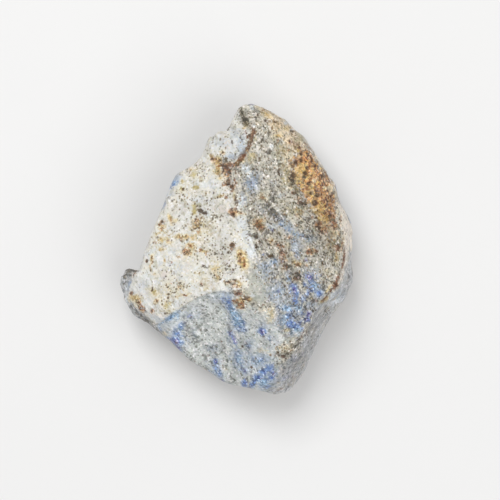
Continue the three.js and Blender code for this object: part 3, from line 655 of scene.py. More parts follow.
        (5.8, 3.1, 1.4, 0.5, 0.6), (3.6, 3.0, 0.9, 0.7, 0.6, -40), (12.9, 3.0, 2.2, 2.0, 0.4),
        (5.2, 2.4, 1.0, 0.8, 0.6), (3.3, 2.1, 0.9, 0.7, 1.1, -30), (3.4, 2.0, 0.8, 1.2, 0.85, 30),
        (12.0, 1.9, 1.6, 0.5, 0.7, 5), (4.2, 0.9, 1.0, 1.2, 0.6), (16.1, 0.2, 0.5, 1.4, 0.45),
        (3.6, -0.2, 0.6, 1.6, 0.8, 15), (4.4, -0.3, 0.6, 0.8, 0.6), (10.9, -0.9, 0.8, 2.0, 0.45, 10),
        (14.9, -1.2, 0.9, 0.9, 0.65), (5.7, -1.3, 1.3, 0.6, 0.95), (16.8, -1.9, 1.0, 1.6, 0.55),
        (14.7, -2.4, 0.6, 1.0, 0.8), (9.2, -3.4, 0.8, 2.4, 0.6, 20), (6.2, -4.1, 0.9, 0.6, 0.5),
        (10.4, -4.9, 1.6, 1.2, 0.9), (6.7, -5.0, 0.9, 0.9, 0.6), (7.9, -5.1, 1.0, 0.9, 0.7),
        (15.0, -5.5, 1.0, 0.8, 0.7), (8.4, -6.4, 0.9, 0.9, 0.65), (11.2, -6.6, 0.8, 2.0, 0.55, 20),
        (14.8, -6.6, 0.8, 1.0, 0.6), (8.4, -8.6, 0.8, 2.0, 0.5, 20), (12.4, -8.6, 1.4, 1.0, 0.75),
        (2.9, -9.4, 0.7, 1.0, 0.7, -20), (9.4, -9.4, 1.0, 2.0, 0.45, 20), (12.5, -9.4, 0.7, 0.7, 0.6),
        (11.6, -10.0, 1.6, 1.0, 0.5), (12.9, -10.2, 1.6, 0.6, 0.75, -45), (7.6, -10.6, 0.8, 1.4, 0.5),
        (9.8, -11.2, 1.2, 1.6, 0.65), (10.6, -11.6, 1.4, 1.0, 0.6), (10.8, -12.0, 1.4, 1.0, 0.6),
        (8.4, -14.2, 1.4, 1.4, 0.45), (9.2, -15.0, 1.6, 0.6, 0.5), (10.6, -16.2, 2.6, 1.2, 0.55, 55),
        (10.1, -16.6, 1.6, 0.5, 0.7, 40), (8.2, -18.2, 2.8, 0.9, 0.6, -12),
        # in the orange field and on the peach rim
        (9.8, 13.7, 0.7, 0.8, 0.65), (14.7, 12.3, 0.5, 0.9, 0.5, 20), (11.6, 12.2, 0.8, 0.9, 0.75),
        (14.8, 11.9, 0.8, 1.4, 0.6), (15.6, 7.8, 0.6, 1.0, 0.55, 20), (15.9, 5.6, 0.5, 1.6, 0.6),
        # on the grey break
        (-0.6, -7.5, 0.8, 0.7, 0.7), (-3.4, -7.7, 1.0, 0.4, 0.5), (1.6, -8.4, 0.8, 0.6, 0.6),
        (-6.4, -9.7, 0.8, 0.9, 0.5), (-5.4, -10.4, 0.7, 0.6, 0.7), (-9.0, -11.6, 0.6, 0.6, 0.6),
        (-5.3, -11.6, 0.7, 2.2, 0.7, 10), (-8.6, -13.0, 0.8, 2.6, 0.7, 20),
        (-1.3, -13.4, 0.5, 1.8, 0.45, 20), (-5.1, -14.2, 0.5, 1.6, 0.65, 25),
        (-7.7, -14.8, 0.9, 2.2, 0.65, 25), (0.2, -15.1, 0.7, 0.9, 0.5), (-4.3, -15.6, 0.9, 0.7, 0.65, 30),
        (-6.9, -15.9, 1.0, 0.8, 0.6, 30), (-10.0, -16.3, 0.7, 0.7, 0.5), (1.0, -16.7, 0.7, 0.6, 0.7),
        (2.1, -16.8, 0.9, 1.4, 0.6), (-4.0, -16.9, 1.4, 0.6, 0.85), (-2.2, -17.0, 0.5, 2.4, 0.65, 22),
        (-8.7, -17.1, 0.5, 1.2, 0.7, 30), (-5.5, -18.0, 0.8, 0.7, 0.6, 30),
        (-5.2, -18.2, 0.9, 1.2, 0.65, 20), (-5.4, -18.4, 1.0, 0.8, 0.7, 20),
        (-7.9, -18.8, 1.6, 0.6, 0.6, -20), (-5.2, -18.9, 0.8, 0.7, 0.9, 30),
        (1.7, -18.9, 0.9, 0.8, 0.6, 30), (3.2, -19.0, 0.8, 0.8, 0.6), (-1.6, -19.2, 0.9, 0.6, 0.8, -40),
        (-4.3, -19.6, 1.0, 0.6, 0.6), (7.0, -19.6, 0.7, 0.7, 0.8), (-6.3, -19.8, 0.7, 0.6, 0.75),
        (-1.8, -20.2, 0.9, 0.7, 0.65, 30), (2.8, -20.3, 1.2, 0.4, 0.8, -40), (4.4, -20.4, 0.7, 0.5, 0.6),
        (-5.3, -20.5, 0.8, 0.6, 0.7), (3.6, -20.8, 1.2, 0.8, 0.5), (2.6, -22.0, 0.8, 1.4, 0.5),
        (-0.6, -22.1, 0.5, 1.8, 0.6, 25), (2.0, -22.5, 0.7, 0.6, 0.6),
        # on the smooth sides and the right edge
        # the rows at the lip's knob, x -19.1 to -18.1, y -3.85 to -5.4, are painted shadow along the knob's
        # top
        (-18.1, -3.85, 1.9, 0.5, 1.35, -4), (19.3, -4.2, 0.4, 1.8, 0.5), (-18.2, -4.6, 0.5, 0.45, 1.05),
        (-19.1, -4.7, 0.6, 0.9, 0.95, -25), (-19.0, -5.4, 0.25, 1.2, 0.5, 10),
        (-19.3, -6.1, 0.35, 0.35, 0.75), (17.3, -8.2, 1.6, 0.9, 0.35, 40),
        (-18.0, -10.0, 0.9, 0.4, 0.8, -45), (-17.3, -10.6, 1.6, 0.5, 0.6, -40),
        (15.4, -10.8, 0.8, 2.4, 0.45, 20), (-16.9, -11.2, 1.6, 0.45, 0.6, -42),
        (-16.1, -11.6, 1.2, 0.4, 0.7, -38), (-15.6, -12.3, 2.6, 0.6, 0.8, -32),
        (-13.6, -14.0, 1.6, 0.45, 0.7, -38), (12.0, -14.6, 1.0, 1.4, 0.5), (6.3, -23.0, 0.9, 0.9, 0.55),
    ],
    # lazurite
    "blue": [
        # on the white face
        (-10.6, 11.0, 1.6, 0.9, 0.95, 5), (-11.3, 10.5, 0.8, 0.9, 0.8, 20),
        (-12.5, 7.4, 0.6, 0.8, 0.75, -20), (-18.2, -5.9, 0.3, 1.4, 0.6, -25), (-18.4, -7.2, 0.4, 0.8, 0.5),
        # on the banded rock
        (2.7, 24.7, 1.2, 0.5, 0.95, -5), (2.7, 11.0, 1.2, 1.8, 0.4), (7.7, 4.1, 1.0, 0.9, 0.6, -30),
        (6.1, 3.1, 1.2, 0.5, 0.7), (8.9, 3.0, 1.8, 0.7, 0.5, -38), (10.0, 2.4, 1.2, 0.7, 0.55, -30),
        (11.5, 1.9, 0.9, 0.4, 0.7), (9.9, 1.0, 1.0, 0.8, 0.55), (10.1, -0.9, 0.8, 1.8, 0.45, 20),
        (4.7, -1.0, 1.0, 0.5, 0.6), (11.9, -2.0, 0.8, 0.7, 0.6), (6.4, -2.2, 1.4, 0.7, 0.6, 10),
        (5.1, -2.6, 1.5, 1.2, 0.4), (13.9, -4.4, 1.2, 1.2, 0.5), (12.4, -5.0, 1.2, 1.8, 0.9, 20),
        (8.9, -5.1, 0.6, 1.0, 0.8), (11.6, -6.2, 0.8, 1.2, 0.6), (13.1, -6.4, 1.5, 1.7, 1.05, 30),
        (9.8, -6.7, 1.0, 1.5, 1.05, 25), (12.6, -7.0, 1.0, 1.2, 0.7), (9.2, -7.2, 0.5, 1.0, 0.7),
        (7.2, -7.4, 1.4, 1.8, 0.5), (10.2, -7.6, 0.9, 1.2, 0.9, 10), (14.1, -7.6, 1.1, 1.3, 1.0, 40),
        (12.0, -7.7, 0.9, 0.9, 0.8), (11.4, -8.6, 1.1, 0.8, 0.9), (10.0, -9.0, 1.0, 2.2, 0.9),
        (8.2, -10.1, 2.2, 1.0, 0.88), (10.6, -10.2, 1.2, 1.0, 0.9), (9.0, -10.5, 1.0, 0.7, 1.0),
        (11.0, -11.0, 1.4, 1.0, 0.6), (12.3, -11.2, 1.0, 0.9, 1.0), (9.0, -11.8, 1.8, 1.8, 0.85),
        (8.0, -12.0, 1.0, 1.6, 0.5), (12.1, -12.1, 1.1, 0.8, 0.95, -20), (10.9, -12.4, 1.6, 1.4, 0.65),
        (9.3, -12.9, 2.4, 1.2, 1.15, -30), (10.4, -13.5, 1.6, 1.0, 1.15, -20),
        # on the grey break
        (-2.3, -8.6, 0.8, 1.4, 0.6, 10), (-1.2, -9.3, 1.1, 1.8, 1.05, 25),
        (-0.7, -10.4, 1.2, 2.0, 1.05, 25), (-10.0, -11.4, 0.7, 1.2, 0.7), (-8.0, -11.5, 0.8, 0.7, 0.65),
        (-11.1, -11.7, 2.8, 0.75, 1.05, 35), (-0.1, -11.8, 1.5, 2.0, 1.0, 20),
        (-12.6, -12.7, 1.6, 0.4, 0.8, 32), (0.5, -12.8, 1.6, 2.0, 1.15, 25),
        (-9.4, -13.3, 1.6, 1.0, 0.9, 50), (-13.1, -13.6, 0.5, 1.3, 0.75, 30),
        (1.2, -13.8, 1.0, 1.0, 0.75, 30), (4.5, -14.1, 1.2, 1.0, 1.2), (-10.2, -14.4, 1.2, 1.4, 0.95, 40),
        (-1.1, -14.6, 0.8, 0.9, 0.65), (-9.2, -15.0, 0.6, 0.9, 0.5), (5.6, -15.2, 0.7, 1.4, 0.45, 30),
        (-0.4, -15.5, 0.6, 1.9, 0.95, 20), (-10.3, -15.8, 1.3, 1.4, 1.3, -30),
        (-11.2, -15.9, 1.8, 0.6, 1.0, -42), (-9.3, -16.2, 0.7, 0.9, 0.9), (2.2, -16.6, 0.8, 0.8, 0.65),
        (-9.9, -17.0, 1.4, 0.6, 1.0, -50), (3.0, -18.8, 1.0, 0.8, 0.5), (0.5, -18.9, 1.2, 2.4, 0.65, 10),
        (4.0, -19.2, 2.0, 1.0, 0.6, 20), (-3.5, -19.4, 0.7, 1.0, 1.0), (0.4, -19.5, 0.6, 0.9, 0.95, 10),
        (5.5, -20.4, 1.8, 1.2, 0.9, 20), (-3.5, -20.6, 0.9, 1.6, 0.7), (0.8, -20.6, 0.6, 0.9, 0.6),
        (1.5, -20.9, 1.0, 1.0, 0.6), (-4.3, -21.0, 1.6, 0.5, 0.5, 10), (4.5, -21.2, 1.4, 1.2, 0.95),
        (6.4, -21.3, 0.9, 0.9, 0.85), (-2.9, -21.4, 0.8, 1.7, 0.75, 15), (6.0, -22.0, 1.0, 1.1, 0.9),
        (3.6, -22.1, 1.4, 1.4, 0.95), (-2.5, -22.8, 0.9, 0.7, 0.85), (4.6, -22.9, 1.5, 1.8, 0.95),
        (2.8, -23.2, 0.9, 1.4, 1.2, -30), (1.4, -23.3, 0.9, 1.6, 1.2), (5.4, -23.7, 0.9, 0.8, 0.8),
        # elsewhere
        (9.8, -18.8, 1.4, 1.2, 0.4), (8.4, -22.2, 2.0, 0.7, 0.45, 20),
    ],
    # where the blue is as pale as sky
    "sky": [
        # on the banded rock
        (2.8, 11.0, 2.0, 2.4, 0.7), (9.0, 3.0, 4.4, 1.6, 0.9, -38), (5.6, -2.6, 4.0, 2.4, 0.8),
        (8.9, -5.0, 1.0, 1.4, 0.9), (13.6, -6.4, 1.2, 1.4, 0.8), (7.4, -7.4, 2.0, 2.4, 0.9),
        (8.5, -9.9, 2.6, 1.4, 1.1), (10.5, -10.2, 1.6, 1.4, 1.0), (8.0, -12.0, 1.4, 2.0, 0.9),
        (10.3, -14.2, 2.0, 1.0, 1.1, -15),
        # on the grey break
        (-0.2, -11.6, 2.0, 4.0, 1.0, 22), (-11.5, -12.0, 4.0, 2.0, 1.2, 30),
        (-9.6, -13.5, 1.8, 2.6, 0.6, 30), (0.5, -18.9, 1.4, 2.4, 0.8, 10), (3.4, -20.0, 3.0, 2.0, 0.8, 20),
        (-3.2, -21.0, 1.2, 2.0, 0.6), (4.6, -23.0, 1.8, 1.4, 1.0),
        # elsewhere
        (-10.6, 11.0, 2.0, 1.4, 0.6),
    ],
    # where the blue runs to indigo and violet
    "indigo": [
        # on the banded rock
        (2.7, 24.7, 1.2, 0.5, 1.1, -5), (2.6, 11.2, 1.4, 1.8, 0.7), (6.1, 3.1, 1.2, 0.5, 0.7),
        (11.5, 1.9, 1.0, 0.5, 0.6), (4.7, -1.0, 1.0, 0.5, 0.6), (11.9, -2.0, 0.8, 0.7, 0.8),
        (12.4, -4.8, 1.2, 1.8, 0.8, 20), (12.4, -5.6, 0.8, 1.2, 0.5), (9.6, -6.3, 0.7, 0.9, 0.6),
        (9.8, -7.0, 0.9, 1.4, 0.8, 20), (7.2, -7.4, 1.6, 2.0, 0.6), (13.6, -7.4, 1.0, 1.0, 0.5, 40),
        (12.3, -11.2, 1.0, 0.9, 1.0), (9.2, -11.4, 1.2, 1.2, 0.5), (10.8, -12.0, 1.4, 0.9, 0.6),
        (12.1, -12.1, 1.0, 0.8, 0.7), (10.2, -13.6, 1.2, 0.6, 0.5),
        # on the grey break
        (-8.0, -11.5, 0.8, 0.7, 0.8), (4.5, -14.1, 1.0, 1.0, 0.8), (-1.1, -14.6, 0.8, 0.9, 0.8),
        (-0.3, -15.5, 0.6, 1.7, 1.0, 20), (-11.2, -15.9, 1.8, 0.6, 0.8, -42), (-10.2, -16.0, 0.8, 1.0, 1.2),
        (-9.8, -17.1, 1.4, 0.6, 0.7, -50), (-3.5, -19.4, 0.6, 0.8, 0.8), (1.5, -20.9, 1.0, 1.0, 0.6),
        (-2.9, -21.4, 0.9, 1.8, 0.5), (6.4, -21.4, 0.9, 0.8, 0.7), (6.0, -22.0, 0.8, 1.0, 0.5),
        (-2.5, -22.7, 0.9, 0.8, 0.8), (2.2, -23.4, 1.4, 0.9, 0.5),
        # elsewhere
        (-12.5, 7.4, 0.6, 0.8, 0.8), (-18.2, -6.2, 0.4, 1.8, 0.4, -25), (9.8, -18.8, 1.4, 1.2, 0.8),
        (8.4, -22.2, 2.0, 0.7, 0.8, 20),
    ],
    # where the rock is darker as a whole; at the lip's knob the rows are painted shadow, and at the top tip,
    # x 0.3 to 1.1, y 22 to 23, partly painted shadow and partly darker rock
    "shade": [
        # on the white face
        # the row at x 0.3, y 23.0 is partly painted shadow and partly darker rock
        (0.3, 23.0, 1.0, 1.4, 0.6, 20), (0.2, 19.4, 2.4, 3.0, 0.75), (-3.0, 17.8, 4.4, 3.4, 0.6),
        (-0.7, 17.7, 1.1, 1.0, 0.6), (-1.6, 13.6, 3.4, 3.0, 0.8), (-3.3, 12.1, 1.0, 1.0, 0.65),
        (-0.3, 11.6, 1.2, 2.2, 0.8), (-1.2, 10.9, 1.6, 1.2, 0.4), (-3.6, 10.4, 6.0, 6.0, 0.4),
        (-0.4, 9.0, 1.3, 3.0, 0.85, -5), (-1.4, 8.5, 1.2, 1.3, 0.7), (0.0, 7.7, 1.1, 1.2, 0.85),
        (-6.0, 6.4, 14.0, 11.0, 0.46), (-8.8, 6.0, 1.0, 1.0, 0.5), (1.2, 5.9, 1.1, 1.1, 0.7),
        (0.8, 5.6, 1.0, 1.0, 0.7), (-3.0, 4.3, 1.2, 1.0, 0.6), (1.6, 3.4, 1.6, 4.0, 0.5, -20),
        (-1.4, 1.6, 1.4, 1.3, 0.65), (-12.6, 1.0, 4.0, 6.0, 0.42), (-5.7, 0.0, 1.4, 1.3, 0.7),
        (-0.6, -0.1, 1.1, 1.1, 0.75), (-3.0, -0.8, 6.0, 5.0, 0.62), (-1.1, -0.8, 1.5, 1.3, 0.7),
        (-0.6, -3.8, 1.6, 1.4, 0.8), (-5.7, -4.3, 1.4, 1.2, 0.6), (-0.4, -5.5, 1.3, 1.1, 0.7),
        (-4.6, -5.6, 6.0, 3.4, 0.4), (-5.2, -7.4, 1.4, 0.9, 0.65),
        # on the banded rock
        # the row at x 1.1, y 22.0 is partly painted shadow and partly darker rock
        (2.7, 22.8, 2.4, 2.2, 0.5), (1.1, 22.0, 1.8, 2.8, 0.9, 20), (3.2, 22.0, 1.3, 1.2, 0.7),
        (1.4, 21.8, 1.6, 3.0, 0.4, 20), (1.7, 21.2, 1.3, 1.3, 0.9), (2.8, 18.2, 1.0, 1.6, 0.7),
        (2.5, 17.7, 1.2, 1.2, 0.65), (8.5, 16.6, 2.4, 2.4, 0.5), (2.9, 15.2, 1.6, 3.0, 0.4, 20),
        (8.4, 15.0, 2.4, 4.0, 0.3), (8.6, 14.0, 2.6, 3.0, 0.5), (9.6, 14.0, 1.2, 1.6, 0.7),
        (9.7, 13.8, 1.1, 1.1, 0.7), (7.5, 12.7, 1.3, 1.5, 0.75), (9.6, 11.5, 1.6, 3.4, 0.6),
        (0.0, 11.0, 1.2, 1.3, 0.9), (10.2, 10.4, 1.8, 4.6, 0.8), (6.2, 8.6, 2.0, 4.4, 0.5),
        (11.4, 7.2, 2.8, 2.4, 0.8), (1.5, 6.5, 1.1, 1.1, 0.7), (1.3, 6.4, 1.2, 1.4, 0.7),
        (11.0, 6.1, 2.4, 2.4, 1.0), (5.2, 5.2, 5.0, 4.6, 0.75), (6.5, 5.2, 1.2, 1.0, 0.8, -40),
        (17.8, 5.0, 0.9, 2.2, 0.35), (5.1, 2.5, 1.4, 1.2, 0.75), (14.8, 1.4, 5.0, 6.4, 1.0),
        (4.3, 1.2, 1.6, 1.8, 0.8), (11.0, 0.6, 3.6, 4.4, 0.8), (8.2, -0.6, 3.0, 5.0, 0.6),
        (12.7, -0.7, 1.4, 1.2, 0.5), (14.9, -1.2, 1.1, 1.1, 0.7), (15.6, -1.4, 3.0, 4.0, 0.65),
        (10.9, -1.7, 1.0, 1.0, 0.7), (17.0, -1.8, 1.4, 1.8, 0.5), (5.0, -3.0, 2.0, 2.0, 0.42),
        (11.8, -3.2, 1.1, 1.1, 0.7), (10.2, -4.4, 4.0, 3.0, 0.8), (7.9, -5.1, 1.5, 1.3, 0.85),
        (15.5, -5.6, 1.4, 1.6, 0.4), (12.6, -6.0, 3.6, 4.6, 0.6, 30), (8.4, -6.4, 1.4, 1.2, 0.8),
        (4.2, -7.2, 1.7, 1.6, 0.6), (12.0, -7.7, 1.2, 1.2, 0.75), (10.8, -8.2, 1.2, 1.2, 0.75),
        (12.4, -8.7, 1.6, 1.3, 0.9), (14.0, -9.2, 3.4, 1.6, 0.7, 10), (6.8, -9.8, 1.3, 1.2, 0.75),
        (10.6, -11.2, 3.6, 3.6, 0.55), (7.8, -18.2, 4.0, 1.4, 0.7),
        # in the orange field and on the peach rim
        (13.4, 14.2, 1.4, 1.6, 0.5), (11.2, 13.4, 2.0, 2.4, 0.4), (10.8, 13.0, 1.4, 1.4, 0.35),
        (11.5, 12.2, 1.0, 1.2, 0.65), (12.4, 12.0, 3.0, 4.0, 0.45, 20), (15.2, 6.0, 3.4, 6.0, 0.6, -20),
        # on the grey break
        (-8.4, -13.8, 2.0, 4.4, 0.6, 25), (0.1, -15.0, 1.2, 1.2, 0.7), (8.2, -15.6, 2.4, 2.0, 0.4),
        (5.8, -15.8, 1.3, 1.3, 0.7), (5.0, -16.2, 3.0, 3.0, 0.4), (1.2, -17.0, 2.8, 4.4, 0.7, 20),
        (-2.2, -17.6, 1.6, 2.8, 0.7, 20), (-4.0, -18.0, 4.0, 4.0, 0.6, 20), (-5.5, -18.4, 1.5, 1.4, 0.8),
        (-5.2, -19.0, 1.2, 1.1, 0.7), (4.4, -19.8, 3.4, 2.4, 0.4), (-1.8, -20.2, 1.3, 1.3, 0.8),
        (7.0, -20.2, 1.3, 1.3, 0.75), (-0.4, -21.0, 3.2, 4.4, 0.85),
        # on the smooth sides and the right edge
        # the rows at the lip's knob, x -18.6 and -17.7, are painted shadow along the knob's top
        (18.7, 5.2, 1.0, 2.0, 0.6), (-18.6, -4.1, 2.4, 1.6, 0.7), (-17.7, -4.3, 0.8, 1.0, 0.7),
        (-16.9, -11.1, 2.6, 0.8, 0.55, -40), (14.2, -12.2, 4.6, 2.2, 0.9, 56),
        (-15.8, -12.5, 2.0, 0.7, 0.7, -34), (12.0, -16.4, 3.4, 6.0, 0.7, -35),
        (10.0, -20.0, 4.6, 5.6, 0.9, -30), (7.6, -22.4, 1.4, 1.4, 0.8), (7.7, -22.5, 2.0, 2.0, 0.55),
        (9.0, -23.2, 1.8, 1.3, 0.8),
    ],
    # where the orange field turns wine brown with pale crystals
    "wine": [
        (9.5, 18.0, 1.4, 1.2, 0.7), (11.4, 17.2, 1.2, 2.6, 0.7, 45), (12.6, 17.2, 1.0, 2.0, 0.45, 40),
        (10.2, 14.8, 1.0, 1.6, 0.8), (13.6, 14.2, 0.8, 1.2, 0.6), (14.4, 12.4, 1.0, 1.4, 0.6),
        (15.2, 11.4, 1.6, 2.6, 0.9, 30), (14.2, 9.8, 1.6, 1.8, 0.7), (16.2, 8.8, 1.6, 2.6, 0.75),
        (15.0, 8.0, 1.0, 1.6, 0.7), (13.4, 7.7, 0.9, 1.0, 0.9), (15.8, 6.6, 1.6, 3.2, 1.0),
        (16.4, 5.0, 1.2, 2.4, 1.0), (14.6, 4.0, 1.6, 1.2, 0.9),
    ],
    # where the orange field and its edge are yellow
    "amber": [
        # on the banded rock
        (3.6, 21.4, 2.0, 3.4, 0.42, 20), (7.2, 19.1, 1.4, 0.5, 0.9), (7.6, 16.6, 1.6, 2.2, 0.5),
        (8.5, 16.6, 2.8, 3.0, 0.7), (8.7, 13.8, 2.8, 3.4, 0.6), (8.0, 9.6, 1.8, 4.0, 0.4, -8),
        (10.6, 6.6, 2.4, 2.4, 0.45), (16.6, 2.6, 2.0, 3.0, 0.6),
        # in the orange field and on the peach rim
        (5.2, 23.2, 1.4, 1.0, 0.8), (6.9, 20.9, 1.3, 1.6, 0.7), (8.7, 20.6, 1.0, 1.0, 0.8),
        (10.8, 13.3, 1.8, 1.9, 1.1), (11.7, 12.2, 1.4, 1.2, 0.7), (11.2, 11.0, 1.0, 1.6, 0.7, 20),
        (12.2, 9.4, 1.2, 1.4, 0.6), (13.2, 8.6, 1.2, 1.2, 0.6), (14.0, 6.4, 1.4, 2.0, 1.0),
        (15.2, 5.0, 1.9, 1.4, 1.25, 30),
    ],
    # bluish grey
    "wash": [
        # on the white face
        (0.2, 19.4, 1.8, 1.6, 0.5), (0.9, 17.3, 1.2, 3.0, 0.95, 8), (-0.9, 15.5, 1.8, 1.0, 0.8),
        (-10.5, 11.9, 1.7, 1.5, 1.1), (-11.4, 9.3, 1.4, 1.8, 0.5), (-12.4, 7.4, 0.8, 1.4, 0.8, -20),
        (-18.3, -6.2, 0.4, 2.0, 0.9, -18),
        # on the banded rock
        (1.4, 13.8, 1.4, 1.5, 0.5), (3.3, 12.2, 2.2, 1.8, 0.6, -20), (2.6, 10.9, 2.0, 2.4, 1.0),
        (1.2, 8.2, 1.3, 2.6, 0.6), (4.4, 6.6, 1.6, 2.0, 0.4), (8.3, 4.0, 4.4, 1.4, 0.9, -45),
        (14.6, 3.0, 1.2, 0.8, 0.4), (10.6, 2.2, 2.4, 0.9, 0.9, -15), (12.2, 1.6, 2.0, 1.2, 0.7),
        (10.1, 0.2, 1.6, 3.4, 0.8, 10), (6.4, -2.4, 2.2, 1.4, 0.8), (5.0, -3.6, 2.6, 3.6, 0.7, 20),
        (12.9, -3.6, 2.0, 1.2, 0.5), (8.8, -4.8, 1.0, 2.0, 0.7), (12.6, -5.6, 2.6, 4.2, 0.6, 25),
        (9.2, -7.0, 1.2, 3.0, 0.7, 15), (7.0, -7.4, 3.0, 3.4, 0.9), (13.8, -7.4, 3.4, 2.2, 0.7, -45),
        (12.6, -9.4, 2.2, 2.0, 0.8), (9.6, -10.0, 4.0, 5.0, 0.8), (7.8, -12.0, 2.0, 3.0, 0.8),
        (10.0, -14.4, 2.4, 1.6, 0.9),
        # on the grey break
        (-1.2, -8.2, 5.0, 1.8, 0.7), (-8.0, -11.4, 2.0, 1.4, 0.7), (-6.4, -11.6, 1.4, 1.6, 0.4),
        (-0.3, -11.6, 2.4, 6.4, 0.6, 22), (-11.0, -12.6, 4.0, 2.8, 0.45, 30), (4.6, -13.6, 2.2, 2.0, 0.6),
        (-7.2, -14.6, 1.2, 2.0, 0.4), (-0.7, -15.2, 1.6, 3.4, 0.6, 20), (6.0, -15.4, 1.8, 3.2, 0.35, 20),
        (-10.2, -15.6, 2.8, 3.4, 0.9), (2.3, -16.7, 1.5, 2.2, 0.8), (-4.0, -17.0, 2.0, 1.2, 0.6),
        (-1.0, -18.8, 1.0, 2.0, 0.5), (0.4, -18.8, 1.8, 3.6, 1.0, 10), (3.6, -19.0, 4.2, 2.8, 0.9, 10),
        (-4.6, -20.0, 1.0, 2.4, 0.4, 20), (1.4, -20.6, 2.2, 2.0, 0.7), (-3.2, -21.0, 1.8, 4.0, 0.8, 15),
        (5.0, -21.8, 3.8, 4.0, 0.9),
        # elsewhere
        (17.4, -8.2, 2.4, 2.0, 0.5),
    ],
    # where small dark specks gather
    "speckle": [
        # on the white face
        (0.4, 22.4, 2.4, 3.4, 1.2), (-4.4, 18.2, 3.0, 3.0, 1.2), (-3.0, 17.4, 4.0, 3.2, 0.9),
        (-1.0, 15.0, 4.0, 2.0, 1.0), (-7.0, 13.0, 5.0, 3.0, 0.9), (-2.0, 10.6, 3.4, 4.4, 0.9),
        (-9.6, 8.0, 3.0, 3.0, 1.0), (-7.0, 8.0, 8.0, 5.0, 0.8), (-3.6, 5.0, 3.0, 2.6, 1.15),
        (-5.0, 4.4, 6.0, 6.0, 0.9), (-9.5, 3.0, 6.0, 5.0, 0.7), (1.6, 3.0, 3.0, 5.0, 1.2),
        (-4.0, 0.0, 8.0, 7.0, 0.9), (-2.4, -1.6, 4.4, 6.0, 1.25), (-14.5, -2.6, 2.0, 4.0, 0.7),
        (-3.0, -3.6, 4.0, 4.0, 0.9), (-12.0, -4.0, 3.0, 4.0, 0.7), (-10.4, -6.0, 3.0, 2.4, 1.2),
        (0.0, -6.0, 4.0, 2.4, 1.0), (-10.0, -7.0, 5.0, 4.0, 0.9), (-11.6, -8.4, 3.0, 2.0, 1.0),
        (-16.6, -9.0, 2.0, 3.0, 0.7), (-12.0, -10.0, 3.0, 3.4, 0.9),
        # on the banded rock
        (2.0, 22.0, 4.0, 4.0, 0.9), (6.0, 14.0, 9.0, 14.0, 1.0), (1.0, 13.0, 3.0, 3.0, 0.9),
        (1.4, 8.0, 3.0, 4.0, 0.8), (8.0, 0.0, 9.0, 16.0, 1.0), (14.0, -2.0, 6.0, 9.0, 1.0),
        (8.0, -17.0, 5.0, 3.0, 0.9),
        # elsewhere
        (13.0, 8.0, 9.0, 14.0, 1.0), (-18.6, -5.0, 2.4, 4.0, 0.9), (-16.0, -11.8, 4.0, 2.0, 0.8, -40),
    ],
    # bluish white, and under the arched edge of the grey break partly painted light
    "pale": [
        # on the white face
        (1.0, 20.4, 0.8, 0.5, 0.9), (0.2, 20.2, 1.4, 1.0, 0.6), (-0.2, 18.6, 2.4, 3.4, 0.7),
        (-2.8, 17.8, 4.0, 3.0, 0.75), (0.9, 17.2, 0.9, 2.6, 0.7, 10), (-1.0, 16.6, 2.0, 1.4, 0.7),
        (-9.0, 11.8, 2.0, 1.4, 0.6), (-3.6, 11.0, 2.0, 4.0, 0.5), (-6.4, 8.4, 2.4, 1.6, 0.6),
        (-6.8, 7.9, 1.2, 1.0, 1.0), (1.0, 4.2, 1.8, 2.4, 0.9), (1.8, 2.0, 1.8, 3.0, 0.9, 20),
        (-11.0, -0.4, 3.0, 2.6, 0.7), (2.6, -0.4, 1.8, 2.0, 1.0, 25), (-9.6, -3.4, 4.0, 3.0, 0.6),
        (1.8, -5.4, 0.9, 0.8, 0.8), (-13.4, -5.6, 3.0, 3.4, 0.5), (-6.8, -6.4, 3.4, 1.6, 0.6, 20),
        # the rows at x -14.2 and -13.2, at the end of the arched edge, are partly painted light
        (-16.0, -6.6, 2.0, 2.8, 0.7), (-14.2, -12.0, 1.6, 1.0, 0.8, -40),
        (-13.2, -12.3, 1.6, 0.9, 1.3, -40),
        # on the banded rock
        (2.7, 23.9, 0.8, 0.8, 0.9), (3.0, 20.7, 0.8, 0.5, 0.8), (6.0, 17.4, 0.8, 0.9, 0.8, -30),
        (1.6, 13.4, 1.2, 1.4, 0.9, 20), (2.2, 12.4, 1.0, 1.0, 0.7), (6.3, 11.1, 1.3, 1.1, 0.7),
        (7.7, 9.0, 1.4, 1.2, 0.9), (0.8, 8.0, 0.9, 1.8, 0.9), (3.2, 7.6, 0.9, 1.4, 0.5),
        (3.4, 6.5, 0.6, 0.6, 0.6), (5.9, 3.75, 1.8, 0.9, 1.1, -10), (12.0, 3.0, 1.0, 0.9, 0.9),
        (10.1, 0.2, 1.5, 2.0, 0.8), (13.5, 0.0, 0.8, 0.6, 0.3), (17.8, -3.1, 0.5, 0.7, 0.7),
        (15.3, -3.3, 1.2, 1.8, 0.45), (12.5, -4.4, 0.8, 1.0, 0.6), (11.4, -5.0, 0.6, 1.2, 0.6),
        (13.5, -6.2, 0.5, 0.6, 0.8), (6.5, -6.8, 0.9, 0.9, 0.9), (7.7, -7.4, 0.6, 0.5, 0.9, -40),
        (2.7, -8.0, 1.0, 1.0, 1.0), (8.1, -8.4, 1.4, 0.8, 0.7, -20), (8.8, -9.1, 1.4, 1.1, 1.1),
        (8.9, -9.2, 1.1, 0.9, 1.2), (8.9, -9.2, 1.0, 0.8, 1.3), (9.0, -9.4, 0.6, 0.5, 1.0),
        (12.0, -11.7, 0.9, 0.3, 0.9, -25), (8.9, -13.5, 0.7, 0.7, 0.7), (10.3, -14.3, 1.2, 0.6, 1.0, -15),
        (10.5, -14.4, 1.4, 0.7, 1.2, -20), (9.9, -15.1, 1.4, 1.0, 0.9),
        # on the grey break
        # the row at x -7.0, y -10.4, and the strong rows near x -10 to -12, y -12 to -13.4, are partly
        # painted light, lifting the break where it tilts away from the lamp
